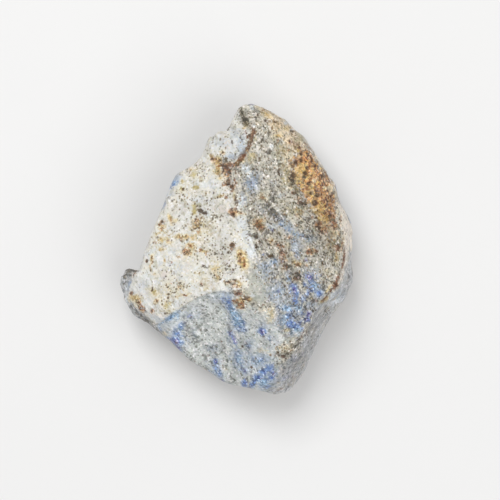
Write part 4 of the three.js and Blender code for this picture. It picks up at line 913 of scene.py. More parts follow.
        (-3.6, -8.8, 4.0, 1.6, 0.55), (-7.0, -10.4, 5.0, 2.4, 0.6, 15), (0.9, -10.6, 1.2, 3.0, 0.6, 25),
        (-9.2, -11.0, 1.8, 1.2, 0.9, 30), (-0.9, -11.0, 0.5, 0.8, 0.5), (-1.6, -11.6, 1.2, 3.4, 0.5, 20),
        (-11.6, -11.9, 1.6, 0.5, 1.2, 35), (3.0, -12.0, 2.0, 2.2, 0.5), (-9.2, -12.6, 1.4, 1.4, 0.6),
        (-11.9, -12.8, 2.6, 1.0, 1.5, 32), (5.7, -12.9, 1.6, 1.4, 0.55), (-10.3, -13.0, 1.4, 0.8, 1.2, 30),
        (-12.0, -13.1, 2.4, 1.2, 1.3, 30), (2.0, -13.2, 0.8, 0.9, 0.9, 30),
        (-10.9, -13.4, 1.6, 1.8, 1.0, 30), (-12.2, -13.6, 0.9, 1.4, 0.8, 30), (-11.4, -14.7, 1.0, 1.0, 0.9),
        (-10.7, -14.7, 0.7, 0.6, 0.9), (-9.0, -15.9, 0.8, 0.7, 1.0), (6.6, -16.2, 1.4, 2.0, 0.5),
        (-8.6, -16.6, 1.4, 1.6, 0.7), (3.1, -17.0, 1.8, 1.4, 0.95), (-10.6, -17.2, 1.4, 0.8, 0.7, -45),
        (5.0, -17.3, 1.8, 1.0, 0.8), (6.7, -17.4, 1.1, 0.9, 1.0), (5.5, -17.9, 1.2, 0.9, 0.8),
        (1.6, -20.2, 0.8, 0.6, 0.5), (-2.6, -22.0, 0.8, 0.8, 0.9), (-1.5, -22.0, 1.2, 1.6, 0.5),
        (5.2, -22.0, 0.5, 0.5, 0.8), (-2.0, -22.3, 0.9, 1.0, 0.95), (3.0, -23.5, 0.7, 0.7, 0.9),
        (3.6, -23.5, 0.8, 0.5, 0.9),
        # on the smooth sides and the right edge
        (-18.8, -7.2, 0.7, 2.0, 0.9), (-18.5, -8.8, 0.9, 1.4, 1.3, 20), (17.2, -8.8, 2.4, 3.0, 0.7, 40),
        (15.9, -9.6, 1.0, 1.2, 0.5),
        # elsewhere
        (8.5, 21.3, 0.8, 0.8, 0.8), (9.4, 20.25, 0.7, 0.3, 1.0), (6.4, 19.6, 1.4, 1.0, 0.5),
    ],
    # cream
    "cream": [
        # on the white face
        (-8.0, 9.6, 5.0, 5.0, 0.5), (-5.4, 3.0, 6.0, 5.4, 0.62), (-12.4, 1.6, 4.4, 5.0, 0.62),
        (-8.0, -0.4, 4.0, 3.0, 0.55), (-3.0, -1.6, 4.0, 3.0, 0.5), (-5.0, -5.8, 6.0, 3.0, 0.6),
        (-13.0, -7.6, 3.0, 2.4, 0.5),
        # on the banded rock
        (3.8, 23.9, 1.4, 0.8, 1.0, -25), (6.5, 19.0, 1.8, 1.6, 0.8), (8.9, 15.6, 1.4, 2.2, 0.6),
        (16.9, 9.0, 0.5, 0.9, 0.9), (11.3, 8.6, 0.9, 0.5, 0.7, -30), (8.5, 6.9, 1.0, 0.4, 0.8, -25),
        (9.9, 6.3, 1.2, 0.3, 0.95, -50), (17.3, 6.2, 0.6, 1.6, 0.8, -15), (11.0, 5.0, 2.2, 0.3, 1.0, -48),
        (17.8, 4.8, 0.9, 2.0, 0.3, -10), (15.4, 3.9, 0.4, 0.6, 0.8), (16.0, 2.9, 0.4, 0.4, 0.8),
        (16.6, 2.6, 1.6, 2.2, 0.85), (18.2, 0.9, 0.7, 2.6, 0.8, -8), (8.7, 0.5, 1.2, 1.1, 0.9),
        (9.3, -1.0, 1.0, 1.1, 0.9), (9.6, -1.6, 1.2, 0.9, 0.6, -30), (8.6, -2.0, 0.4, 1.4, 0.5),
        (12.2, -2.7, 0.9, 0.5, 0.7, -15), (17.8, -3.2, 0.5, 0.6, 0.7), (14.9, -3.6, 1.0, 1.6, 0.5),
        (15.4, -3.9, 0.9, 1.0, 0.9), (17.0, -4.2, 0.9, 1.4, 0.6, 20), (16.0, -4.6, 0.9, 2.0, 0.5, 10),
        (10.9, -5.8, 0.7, 0.8, 0.8), (11.5, -9.0, 0.4, 0.4, 0.6), (10.7, -9.7, 0.8, 0.4, 0.7),
        (4.3, -10.4, 1.8, 0.7, 0.6, -20), (5.9, -11.2, 1.2, 2.2, 0.8), (9.8, -15.2, 1.6, 0.8, 0.7, 40),
        (8.3, -17.0, 2.6, 1.6, 0.8, 10),
        # in the orange field and on the peach rim
        (7.6, 19.9, 3.0, 0.8, 0.9), (8.6, 19.4, 2.0, 0.5, 0.9, -10), (10.2, 18.6, 1.3, 1.1, 0.9),
        (11.6, 16.9, 0.9, 0.9, 0.8), (13.3, 11.6, 0.6, 0.9, 1.0, 20), (15.3, 11.4, 1.1, 0.6, 0.6, -20),
        (11.4, 11.3, 0.5, 1.0, 0.8, 30), (16.2, 10.3, 0.9, 1.6, 0.9, 10), (15.3, 10.2, 0.9, 0.6, 1.0, -20),
        (15.9, 9.3, 0.6, 0.8, 0.8), (13.4, 6.5, 0.8, 0.5, 0.9, 20), (16.4, 5.0, 0.3, 1.0, 0.9, -35),
        # on the grey break
        (3.0, -11.6, 1.2, 3.0, 0.35, 20), (5.5, -12.4, 1.0, 1.0, 0.8), (-12.2, -14.7, 1.2, 0.9, 0.8, -38),
        (4.4, -17.4, 3.0, 1.0, 0.7, -10),
        # elsewhere
        (15.4, 15.0, 0.6, 1.2, 0.6, 30), (-18.4, -8.9, 0.6, 1.0, 0.9, 20),
    ],
}


def patchField(points, rows):
    # the strength at the middle of each patch, half of it at the edge and nothing at twice the size
    field = np.zeros(len(points))
    for x, y, length, width, strength, *turned in rows:
        away = points[:, :2] - (x, y)
        near = np.abs(away).max(1) < 1.5 * max(length, width)
        turn = math.radians(turned[0] if turned else 0)
        c, s = math.cos(turn), math.sin(turn)
        along = (away[near, 0] * c + away[near, 1] * s) / (length / 2)
        across = (away[near, 1] * c - away[near, 0] * s) / (width / 2)
        field[near] = np.maximum(field[near], strength * (1 - 0.5 * np.hypot(along, across)))
    return field


# what the hidden sides are made of: how wide each kind of patch is, how rare and how strong
backRock = {
    "ragged": 0.5,  # how much finer noise tears the patches' edges
    "chalk": {"size": 7.0, "shift": 11.3, "level": 0.0},
    "blue": {"size": 2.1, "shift": 5.7, "level": 0.34, "gain": 1.1, "most": 0.85},
    "rust": {"size": 1.5, "shift": 8.9, "level": 0.42, "gain": 1.6, "most": 0.9},
    "ochre": {"size": 2.7, "shift": 2.3, "level": 0.34, "gain": 1.1, "most": 0.72},
    "wash": {"size": 4.2, "shift": 4.4, "level": 0.1, "gain": 0.9, "most": 0.8},
    "dark": {"size": 1.9, "shift": 7.7, "level": 0.38, "gain": 1.2, "most": 0.8},
    "seamSize": 8.0,  # brown seams run where this noise crosses nothing
    "seamWidth": 0.012,
}


def layered(points, turn):
    # coordinates that draw a noise out along the layers
    c, s = math.cos(math.radians(-turn)), math.sin(math.radians(-turn))
    x, y = points[:, 0], points[:, 1]
    return np.stack([c * x - s * y, 0.35 * (s * x + c * y), 0.55 * points[:, 2]], axis=1)


def paintFields(mesh):
    points = readPoints(mesh)
    normals = readNormals(mesh)
    # the front's patches fade out down the sides
    sway = noiseAt(points, 3.0, 6.6)  # wavelength and shift
    front = stepUp(normals[:, 2] + 0.25 * sway, -0.12, 0.18)
    fields = {name: depthInside(points, outline) for name, outline in outlines.items()}
    for name, rows in patches.items():
        fields[name] = patchField(points, rows) * front
    # the white face is sharp along its arched edge and soft towards the grey rock
    x, y = points[:, 0], points[:, 1]
    soft = stepUp(x, -3.0, 1.0) * stepUp(y, -7.0, -5.0) * stepUp(y, 21.0, 18.0)
    fields["chalk"] *= 1 - 0.8 * soft
    # the grey break is soft on its right
    fields["fresh"] *= 1 - 0.8 * stepUp(x, 0.0, 2.0) * stepUp(y, -8.0, -9.5)
    # behind, the rock changes by slow noise along the layers
    behind = 1 - front
    along = layered(points, layerBearing)
    kind = backRock["chalk"]
    chalkBehind = 6 * (noiseAt(along, kind["size"], kind["shift"]) + 0.3 * noiseAt(points, 1.8, 5.2)
                       - kind["level"])
    faded = np.minimum(fields["chalk"], chalkBehind + 4 * front)
    fields["chalk"] = np.where(front > 0.5, fields["chalk"], faded)
    fields["fresh"] = fields["fresh"] * front + behind * (-chalkBehind)
    for name in ("lowerSide", "lipSide", "rightSide"):
        fields[name] = np.minimum(fields[name], 6 * front - 1 + 2 * sway)
    for name in ("ochreField", "peachRim", "calm"):
        fields[name] = np.where(front > 0.3, fields[name], -2.0)
    for name in ("blue", "rust", "ochre", "wash", "dark"):
        kind = backRock[name]
        spots = along if name in ("blue", "wash", "dark") else points
        slow = noiseAt(spots, kind["size"], kind["shift"])
        ragged = noiseAt(spots, kind["size"] / 2.6, kind["shift"] + 3.0)
        hidden = 0.5 + kind["gain"] * (slow + backRock["ragged"] * ragged - kind["level"])
        fields[name] = np.maximum(fields[name], behind * np.clip(hidden, 0, kind["most"]))
    fields["speckle"] = np.maximum(fields["speckle"], behind * (0.35 + 0.9 * noiseAt(points, 3.6, 9.4)))
    # brown lines, which fade out on the left under the boss, and seams behind
    lines = [np.exp(-(besidePath(points, paths[name]) / width) ** 2)
             for name, width in surface["brownLines"].items()]
    fields["crack"] = front * np.max(lines, axis=0)
    fields["crack"] *= stepUp(x, -2.2, 0.4) * (0.8 + 0.5 * noiseAt(points, 1.4, 4.1))
    seam = np.exp(-(noiseAt(points, backRock["seamSize"], 6.1) / backRock["seamWidth"]) ** 2)
    patchy = stepUp(noiseAt(points, 3.3, 1.9), 0.0, 0.3)
    fields["crack"] = np.maximum(fields["crack"], behind * seam * patchy * 0.9)
    for name, values in fields.items():
        layer = mesh.attributes.new(name, "FLOAT", "POINT")
        layer.data.foreach_set("value", values.astype(np.float32))


paintFields(stoneMesh)
print("patches are laid out")

# the crust of lumps, grains, layers and pits: heights, depths and sizes
crust = {
    "Swell height": 0.22,
    "Swell size": 2.9,
    "Lump height": 0.3,
    "Lump size": 1.05,
    "Grain height": 0.13,
    "Grain size": 0.62,
    "Layer height": 0.26,
    "Layer size": 1.25,
    "Pit depth": 0.3,
    "Pit spacing": 1.5,
    "Layer bearing": layerBearing,
    "Seed": 7.0,
}
# how much rougher each kind of rock is and how much more its layers show, or less where the number is
# less than nothing
rougher = {"fresh": -0.5, "chalk": -0.2, "side": -0.72, "calm": -0.4, "field": 0.35}
moreLayered = {"chalk": -0.75, "side": -0.55, "fresh": -0.3}


def buildCrustTree(material):
    tree = bpy.data.node_groups.new("stoneCrust", "GeometryNodeTree")
    tree.interface.new_socket(name="Geometry", in_out="INPUT", socket_type="NodeSocketGeometry")
    for name, value in crust.items():
        socket = tree.interface.new_socket(name=name, in_out="INPUT", socket_type="NodeSocketFloat")
        socket.default_value = value
    tree.interface.new_socket(name="Geometry", in_out="OUTPUT", socket_type="NodeSocketGeometry")
    given = tree.nodes.new("NodeGroupInput").outputs
    taken = tree.nodes.new("NodeGroupOutput")

    def vectorMath(operation, first, second):
        return place(tree, "ShaderNodeVectorMath", {0: first, 1: second}, operation=operation).outputs[0]

    def named(name):
        node = place(tree, "GeometryNodeInputNamedAttribute", {"Name": name}, data_type="FLOAT")
        return node.outputs["Attribute"]

    def times(*factors):
        return chained(tree, "MULTIPLY", *factors)

    def plus(*parts):
        return chained(tree, "ADD", *parts)

    def byRock(shares):
        # 1, and more or less on each kind of rock
        return plus(1.0, *(times(masks[name], share) for name, share in shares.items()))

    def perMm(size):
        return sums(tree, "DIVIDE", 1.0, size)

    position = place(tree, "GeometryNodeInputPosition").outputs[0]
    normal = place(tree, "GeometryNodeInputNormal").outputs[0]
    spot = vectorMath("MULTIPLY", position, (1000.0, 1000.0, 1000.0))
    shift = place(tree, "ShaderNodeCombineXYZ", {0: given["Seed"], 1: given["Seed"], 2: 0.0}).outputs[0]
    spot = vectorMath("ADD", spot, shift)

    sides = sums(tree, "MAXIMUM", named("lowerSide"), named("rightSide"))
    masks = {
        "chalk": ramped(tree, named("chalk"), -0.3, 0.3),
        "fresh": ramped(tree, named("fresh"), -0.3, 0.3),
        "side": ramped(tree, sides, -0.5, 0.4),
        "field": ramped(tree, named("ochreField"), -0.6, 0.6),
        "calm": ramped(tree, named("calm"), -0.6, 0.6),
    }
    rough = sums(tree, "MAXIMUM", byRock(rougher), 0.2)

    swell = sums(tree, "SUBTRACT", cloud(tree, spot, perMm(given["Swell size"]), 2.0), 0.5)
    lump = sums(tree, "SUBTRACT", cloud(tree, spot, perMm(given["Lump size"]), 3.0, 0.6), 0.5)
    lump = times(lump, rough)
    grain = cells(tree, spot, perMm(given["Grain size"])).outputs["Distance"]
    grain = times(sums(tree, "SUBTRACT", 0.45, grain), rough)

    # layers stand on edge, so the relief is drawn out along them
    bearing = times(given["Layer bearing"], -math.pi / 180)
    turned = place(tree, "ShaderNodeVectorRotate", {"Vector": spot, "Angle": bearing},
                   rotation_type="Z_AXIS")
    drawn = vectorMath("MULTIPLY", turned.outputs[0], (1.0, 0.22, 0.3))
    layer = sums(tree, "SUBTRACT", cloud(tree, drawn, perMm(given["Layer size"]), 3.0, 0.6, 0.3), 0.5)
    layer = times(layer, byRock(moreLayered))

    # pits, some at random and some where the dark dots are
    holes = cells(tree, spot, perMm(given["Pit spacing"]))
    chance = place(tree, "ShaderNodeSeparateXYZ", {0: holes.outputs["Color"]}).outputs[0]
    chosen = ramped(tree, chance, 0.5, 0.55)
    hole = times(ramped(tree, holes.outputs["Distance"], 0.32, 0.06), chosen)
    hole = times(hole, times(rough, 0.6))
    hole = sums(tree, "MAXIMUM", hole, ramped(tree, named("pit"), 0.35, 0.9))

    raised = plus(times(lump, given["Lump height"]), times(grain, given["Grain height"]))
    carved = plus(times(layer, given["Layer height"]), times(hole, times(given["Pit depth"], -1.0)))
    fine = plus(raised, carved)
    height = plus(fine, times(swell, given["Swell height"]))

    # the spot that the stone rests on stays flat
    level = place(tree, "ShaderNodeSeparateXYZ", {0: position}).outputs[2]
    height = times(height, ramped(tree, level, 0.00005, 0.0006))
    metres = sums(tree, "DIVIDE", height, 1000.0)
    push = place(tree, "ShaderNodeVectorMath", {0: normal, "Scale": metres}, operation="SCALE").outputs[0]
    moved = vectorMath("ADD", position, push)
    split = place(tree, "ShaderNodeSeparateXYZ", {0: moved}).outputs
    above = sums(tree, "MAXIMUM", split[2], 0.0)
    moved = place(tree, "ShaderNodeCombineXYZ", {0: split[0], 1: split[1], 2: above}).outputs[0]

    # the fine relief is kept, and the finish paints shade into its hollows and light onto its bumps
    kept = place(tree, "GeometryNodeStoreNamedAttribute",
                 {"Geometry": given["Geometry"], "Name": "relief", "Value": fine},
                 data_type="FLOAT", domain="POINT")
    pushed = place(tree, "GeometryNodeSetPosition", {"Geometry": kept.outputs[0], "Position": moved})
    real = place(tree, "GeometryNodeRealizeInstances", {"Geometry": pushed.outputs[0]})
    dressed = place(tree, "GeometryNodeSetMaterial",
                    {"Geometry": real.outputs[0], "Material": material})
    tree.links.new(dressed.outputs[0], taken.inputs[0])
    return tree


# the rock's finish
rock = {
    "light": 0.985,  # a factor on all colours, to suit the studio's light
    "tintShake": 0.055,  # how far the grains differ in hue
    "chalkShake": 0.035,  # the same on the white face and in the orange field
    "roughness": {"rock": 0.68, "chalk": 0.86, "blue": 0.5, "glint": 0.3},
    "specular": 0.4,
    "bump": {"Strength": 0.8, "Distance": 0.00012},
    # grains: how many there are to a mm, and their share in the light and dark
    "grains": {"small": (3.2, 0.46), "large": (1.45, 0.2), "grit": (4.6, 0.24)},
    # clouds: how many there are to a mm, detail and roughness
    "clouds": {
        "fine": (2.4, 5.0, 0.68), "clump": (1.1, 4.0, 0.62),
        "slow": (0.34, 3.0, 0.5), "slower": (0.16, 2.0, 0.5),
    },
    # streaks along the layers and down the smooth sides: bearing in degrees and squeeze, then as the clouds
    # with distortion
    "layers": (-layerBearing, (1.0, 0.24, 0.3), 1.15, 4.0, 0.62, 0.4),
    "combed": (35, (1.0, 0.16, 0.3), 1.7, 3.0, 0.6, 0.3),
    # how much the grains of each kind of rock differ in lightness
    "contrast": {
        "grey": 0.56, "fresh": 0.33, "calm": 0.2, "side": 0.37, "lip": 0.52, "rim": 0.18, "peach": 0.44,
        "field": 0.8, "chalk": 0.125, "blue": 0.78, "ochre": 0.36, "rust": 0.42,
    },
    # each outline: how far its border wanders by the grains, and how soft it is
    "borders": {
        "fresh": (0.35, 0.12), "calm": (0.8, 0.7), "lowerSide": (0.5, 0.25), "lipSide": (0.4, 0.2),
        "rightSide": (0.5, 0.25), "peachRim": (0.6, 0.4), "ochreField": (1.2, 0.55), "chalk": (0.5, 0.12),
    },
    # each stain: how far clumps tear it, how soft its edge is, where the edge lies, and how grainy it is
    "stains": {
        "amber": (0.6, 0.3, 0.45, 0.4), "wine": (0.6, 0.3, 0.45, 0.4), "wash": (0.6, 0.4, 0.4, 0.4),
        "pale": (0.6, 0.2, 0.5, 0.4), "cream": (0.7, 0.2, 0.5, 0.4), "olive": (0.8, 0.25, 0.5, 0.4),
        "blue": (0.8, 0.34, 0.46, 0.28), "ochreHalo": (0.7, 0.3, 0.3, 0.4), "ochre": (0.9, 0.3, 0.5, 0.26),
        "rust": (1.0, 0.22, 0.5, 0.4), "dark": (0.8, 0.2, 0.44, 0.6),
    },
    # how well each stain covers the rock
    "cover": {
        "amber": 0.5, "wash": 0.68, "pale": 0.75, "cream": 0.75, "olive": 0.62, "blue": 0.9, "halo": 0.4,
        "ochre": 0.82, "dark": 0.88, "freshDark": 0.56, "pit": 0.88, "line": 0.72, "peach": 0.92,
    },
    # the shares of a rock's dark grains and of its pale ones
    "shares": {
        "grey": (0.19, 0.12), "fresh": (0.11, 0.13), "calm": (0.08, 0.06), "side": (0.13, 0.1),
        "rim": (0.1, 0.08), "peach": (0.16, 0.14), "chalk": (0.07, 0.2), "blue": (0.3, 0.2),
        "sky": (0.22, 0.2), "indigo": (0.34, 0.22),
    },
    # small dark specks: how close they lie, their size, and where they begin on clean and on speckled rock
    "specks": ((2.3, 0.36, 0.88, 0.37), (1.2, 0.26, 0.78, 0.46)),
    # the tones that a grain may have: the share of the grains that are darker, and the tone
    "fieldTones": ((0, "fieldDark"), (0.16, "fieldWine"), (0.34, "fieldOrange"), (0.7, "fieldYellow"),
                   (1.0, "fieldCream")),
    "ochreTones": ((0, "rustRed"), (0.08, "ochreOlive"), (0.26, "ochreBright"), (0.55, "ochreGold"),
                   (0.88, "ochreHalo")),
    "rustTones": ((0, "rustDark"), (0.08, "rustRed"), (0.38, "rustGold"), (0.58, "rustPale")),
    # colours as they look on a screen: the base, the dark grains and the pale grains
    "grey": ((194, 190, 178), (118, 108, 94), (226, 224, 216)),
    "fresh": ((203, 207, 205), (142, 143, 138), (229, 232, 230)),
    "calm": ((192, 193, 184), (156, 154, 144), (212, 213, 206)),
    "side": ((185, 187, 189), (130, 131, 134), (216, 218, 221)),
    "sideWarm": (190, 186, 180),
    "sideDark": (146, 145, 154),
    "rim": ((236, 227, 214), (190, 176, 168), (244, 240, 234)),
    "peach": ((232, 212, 182), (152, 124, 94), (244, 236, 220)),
    "chalk": ((230, 229, 224), (200, 196, 182), (235, 236, 234)),
    "blue": ((102, 136, 190), (62, 88, 158), (180, 204, 230)),
    "sky": ((148, 182, 212), (106, 138, 180), (212, 228, 240)),
    "indigo": ((106, 108, 170), (58, 52, 136), (196, 198, 226)),
    # the orange field, from its darkest grains to its palest
    "fieldDark": (102, 60, 42),
    "fieldWine": (134, 88, 70),
    "fieldOrange": (198, 144, 90),
    "fieldYellow": (200, 170, 98),
    "fieldCream": (242, 221, 182),
    # rust, from its darkest grains to its palest
    "rustDark": (95, 63, 43),
    "rustRed": (148, 98, 64),
    "rustGold": (184, 149, 104),
    "rustPale": (216, 196, 176),
    # tints
    "chalkCream": (230, 226, 214),
    "chalkPink": (230, 221, 215),
    "chalkBlue": (220, 225, 228),
    "chalkOlive": (210, 207, 190),
    "wash": (150, 169, 193),
    "olive": (178, 170, 132),
    "oliveDark": (104, 92, 70),
    "paleBlue": (221, 227, 232),
    "cream": (224, 212, 184),
    "ochreHalo": (224, 212, 166),
    "ochreBright": (208, 165, 96),
    "ochreGold": (206, 178, 116),
    "ochreOlive": (168, 144, 82),
    "ochreMoss": (176, 164, 96),
    "lineBrown": (146, 104, 78),
    "pitDark": (92, 70, 52),
    # the tone of the dark grains, also used for painted shade
    "darkGrainsAndShade": (84, 79, 70),
    "speckBrown": (118, 90, 62),
    "speckGrey": (98, 93, 80),
}


def buildRock(values):
    material = bpy.data.materials.new("roughLapis")
    material.use_nodes = True
    tree = material.node_tree
    shader = tree.nodes["Principled BSDF"]
    light = values["light"]
    cover = values["cover"]

    def tone(name):
        return fromScreen(*values[name], gain=light)

    def mixed(factor, first, second):
        node = place(tree, "ShaderNodeMix", {0: factor, 6: first, 7: second}, data_type="RGBA")
        return node.outputs[2]

    def mixedNumber(factor, first, second):
        return place(tree, "ShaderNodeMix", {0: factor, 2: first, 3: second}).outputs[0]

    def field(name):
        return place(tree, "ShaderNodeAttribute", attribute_name=name).outputs["Fac"]

    def times(*factors):
        return chained(tree, "MULTIPLY", *factors)

    def plus(*parts):
        return chained(tree, "ADD", *parts)

    def fromMiddle(value):
        return sums(tree, "SUBTRACT", value, 0.5)

    def wobble(value, by, amount):
        # the value moved up and down by a noise round 0.5
        return sums(tree, "MULTIPLY_ADD", fromMiddle(by), amount, value)

    def parted(value):
        return place(tree, "ShaderNodeSeparateColor", {0: value}).outputs

    def streaked(turn, squeeze, *numbers):
        # a cloud drawn out along one direction
        turned = place(tree, "ShaderNodeVectorRotate", {"Vector": spot, "Angle": math.radians(turn)},
                       rotation_type="Z_AXIS").outputs[0]
        drawn = place(tree, "ShaderNodeVectorMath", {0: turned, 1: squeeze}, operation="MULTIPLY").outputs[0]
        return cloud(tree, drawn, *numbers)

    spot = place(tree, "ShaderNodeTexCoord").outputs["Object"]
    spot = place(tree, "ShaderNodeVectorMath", {0: spot, 1: (1000.0, 1000.0, 1000.0)},
                 operation="MULTIPLY").outputs[0]

    # grains: small and larger crystals, each with its own shade
    (smallCount, smallShare), (largeCount, largeShare), (gritCount, gritShare) = values["grains"].values()
    smallColour = cells(tree, spot, smallCount).outputs["Color"]
    small = parted(smallColour)
    large = parted(cells(tree, spot, largeCount).outputs["Color"])
    grit = parted(cells(tree, spot, gritCount).outputs["Color"])
    fine, clump, slow, slower = (cloud(tree, spot, *numbers) for numbers in values["clouds"].values())
    layers = streaked(*values["layers"])
    combed = streaked(*values["combed"])
    grain = times(small[0], smallShare)
    grain = sums(tree, "MULTIPLY_ADD", large[0], largeShare, grain)
    grain = sums(tree, "MULTIPLY_ADD", grit[0], gritShare, grain)
    grain = sums(tree, "MULTIPLY_ADD", fromMiddle(fine), 1.2, grain)
    grain = plus(grain, 0.05)  # about 0.5 in the middle

    # borders between kinds of rock wander by the grains
    edge = wobble(times(fromMiddle(clump), 2.2), small[1], 0.6)

    def region(name):
        wander, soft = values["borders"][name]
        value = sums(tree, "MULTIPLY_ADD", edge, wander, field(name))
        return ramped(tree, value, -soft, soft)

    def stain(name, kind=None):
        amount, soft, level, speckle = values["stains"][kind or name]
        shaken = wobble(wobble(field(name), clump, amount), small[2], speckle)
        return ramped(tree, shaken, level - soft, level + soft)

    def grained(name, base=None):
        # a base with its dark and pale grains; the layers gather the dark ones
        plain, darker, paler = (fromScreen(*shade, gain=light) for shade in values[name])
        darkShare, paleShare = values["shares"][name]
        chance = wobble(small[1], layers, 0.9)
        result = mixed(ramped(tree, chance, 0.94 - darkShare, 1.06 - darkShare), base or plain, darker)
        return mixed(ramped(tree, chance, paleShare + 0.06, paleShare - 0.06), result, paler)

    def mottled(chance, tones):
        # picks a tone for each grain
        result = tone(tones[0][1])
        for share, name in tones[1:]:
            result = mixed(ramped(tree, chance, share - 0.05, share + 0.05), result, tone(name))
        return result

    def contrastWith(mask, name):
        return mixedNumber(mask, contrast, values["contrast"][name])

    # grey banded rock
    colour = grained("grey")
    contrast = values["contrast"]["grey"]

    # the grey break
    fresh = region("fresh")
    colour = mixed(fresh, colour, grained("fresh"))
    contrast = contrastWith(fresh, "fresh")

    # the calm patch
    calm = region("calm")
    colour = mixed(calm, colour, grained("calm"))
    contrast = contrastWith(calm, "calm")

    # smooth sides, warmer in parts and with dark streaks; the one under the lip is the grainier
    lip = region("lipSide")
    side = sums(tree, "MAXIMUM", region("lowerSide"), lip)
    sideBase = fromScreen(*values["side"][0], gain=light)
    sideBase = mixed(ramped(tree, slow, 0.46, 0.64), sideBase, tone("sideWarm"))
    sideBase = mixed(times(ramped(tree, combed, 0.54, 0.68), 0.7), sideBase, tone("sideDark"))
    colour = mixed(side, colour, grained("side", sideBase))
    contrast = contrastWith(side, "side")
    contrast = contrastWith(lip, "lip")
    rim = region("rightSide")
    colour = mixed(rim, colour, grained("rim"))
    contrast = contrastWith(rim, "rim")

    # the peach rim and the orange field
    peach = region("peachRim")
    colour = mixed(times(peach, cover["peach"]), colour, grained("peach"))
    contrast = contrastWith(peach, "peach")
    amber = stain("amber")
    wine = stain("wine")
    colour = mixed(times(amber, cover["amber"]), colour, tone("fieldYellow"))
    ochreField = region("ochreField")
    # each grain's shade, even in the yellow parts, darker in the wine brown parts and in clumps
    quiet = mixedNumber(amber, 1.0, 0.45)
    fieldChance = plus(times(fromMiddle(small[0]), 0.32), times(fromMiddle(clump), 2.0))
    fieldChance = wobble(wobble(fieldChance, fine, 1.1), large[1], 0.3)
    fieldChance = sums(tree, "MULTIPLY_ADD", fieldChance, quiet, 0.55)
    fieldChance = plus(fieldChance, times(wine, -0.24), times(amber, 0.12))
    fieldTone = mottled(fieldChance, values["fieldTones"])
    fieldTone = mixed(times(amber, 0.6), fieldTone, tone("fieldYellow"))
    # pale crystals, most of them among the wine brown
    crystal = times(sums(tree, "MAXIMUM", wine, 0.5), ramped(tree, grit[1], 0.7, 0.78))
    fieldTone = mixed(times(crystal, 0.8), fieldTone, tone("fieldCream"))
    colour = mixed(ochreField, colour, fieldTone)
    # wine brown grains, which also stray past the field's edge
    colour = mixed(times(wine, ramped(tree, small[1], 0.55, 0.45), 0.6), colour, tone("fieldWine"))
    colour = mixed(times(wine, ramped(tree, grit[2], 0.76, 0.84), 0.7), colour, tone("fieldDark"))
    contrast = contrastWith(ochreField, "field")
    # large ragged dark dots
    dots = cells(tree, spot, 0.9)
    dot = parted(dots.outputs["Color"])
    reach = times(ramped(tree, dot[0], 0.45, 0.9, 0.0, 0.36), ochreField)
    uneven = wobble(wobble(reach, fine, 1.1), small[2], 0.16)
    mark = ramped(tree, sums(tree, "SUBTRACT", uneven, dots.outputs["Distance"]), -0.08, 0.08)
    colour = mixed(times(mark, 0.8), colour, tone("fieldDark"))

    # the white face
    chalk = region("chalk")
    chalkBase = fromScreen(*values["chalk"][0], gain=light)
    chalkBase = mixed(ramped(tree, slower, 0.42, 0.6), chalkBase, tone("chalkCream"))
    chalkBase = mixed(times(ramped(tree, slow, 0.54, 0.68), 0.7), chalkBase, tone("chalkPink"))
    chalkBase = mixed(times(ramped(tree, slow, 0.44, 0.34), 0.7), chalkBase, tone("chalkBlue"))
    chalkBase = mixed(times(ramped(tree, clump, 0.52, 0.7), 0.8), chalkBase, tone("chalkOlive"))
    colour = mixed(chalk, colour, grained("chalk", chalkBase))
    contrast = contrastWith(chalk, "chalk")

    # tints
    colour = mixed(times(stain("wash"), cover["wash"]), colour, tone("wash"))
    # the pale tint is partly painted light under the arched edge of the grey break
    colour = mixed(times(stain("pale"), cover["pale"]), colour, tone("paleBlue"))
    colour = mixed(times(stain("cream"), cover["cream"]), colour, tone("cream"))
    oliveShare = ramped(tree, wobble(clump, small[0], 0.3), 0.5, 0.66)
    oliveTone = mixed(oliveShare, tone("olive"), tone("oliveDark"))
    oliveTone = mixed(ramped(tree, field("olive"), 0.7, 1.0), oliveTone, tone("oliveDark"))
    colour = mixed(times(stain("olive"), cover["olive"]), colour, oliveTone)

    # lazurite, deep in some places and pale as sky in others
    blue = stain("blue")
    sky = ramped(tree, wobble(field("sky"), clump, 0.8), 0.35, 0.65)
    blueTone = mixed(sky, grained("blue"), grained("sky"))
    violet = ramped(tree, wobble(field("indigo"), clump, 0.6), 0.35, 0.65)
    blueTone = mixed(violet, blueTone, grained("indigo"))
    colour = mixed(times(blue, cover["blue"]), colour, blueTone)
    contrast = contrastWith(blue, "blue")

    # ochre with its pale halo, mossy where it is olive too
    halo = stain("ochre", "ochreHalo")
    colour = mixed(times(halo, cover["halo"]), colour, tone("ochreHalo"))
    ochreChance = wobble(small[0], clump, 0.8)
    ochreTone = mottled(ochreChance, values["ochreTones"])
    mossy = ramped(tree, field("olive"), 0.25, 0.6)
    ochreTone = mixed(times(mossy, 0.75), ochreTone, tone("ochreMoss"))
    ochre = stain("ochre")
    colour = mixed(times(ochre, cover["ochre"]), colour, ochreTone)
    contrast = contrastWith(ochre, "ochre")

    # rust: the middle of a patch is dark and its edge red, golden and pale, a little paler on the white face
    rustChance = wobble(wobble(small[0], fine, 0.8), clump, 0.7)
    rustChance = sums(tree, "MULTIPLY_ADD", field("rust"), -0.6, rustChance)
    rustChance = wobble(rustChance, chalk, 0.16)
    rustTone = mottled(rustChance, values["rustTones"])
    rust = stain("rust")
    colour = mixed(times(rust, ramped(tree, small[2], 0.9, 0.82, 0.3, 0.9)), colour, rustTone)
    contrast = contrastWith(rust, "rust")

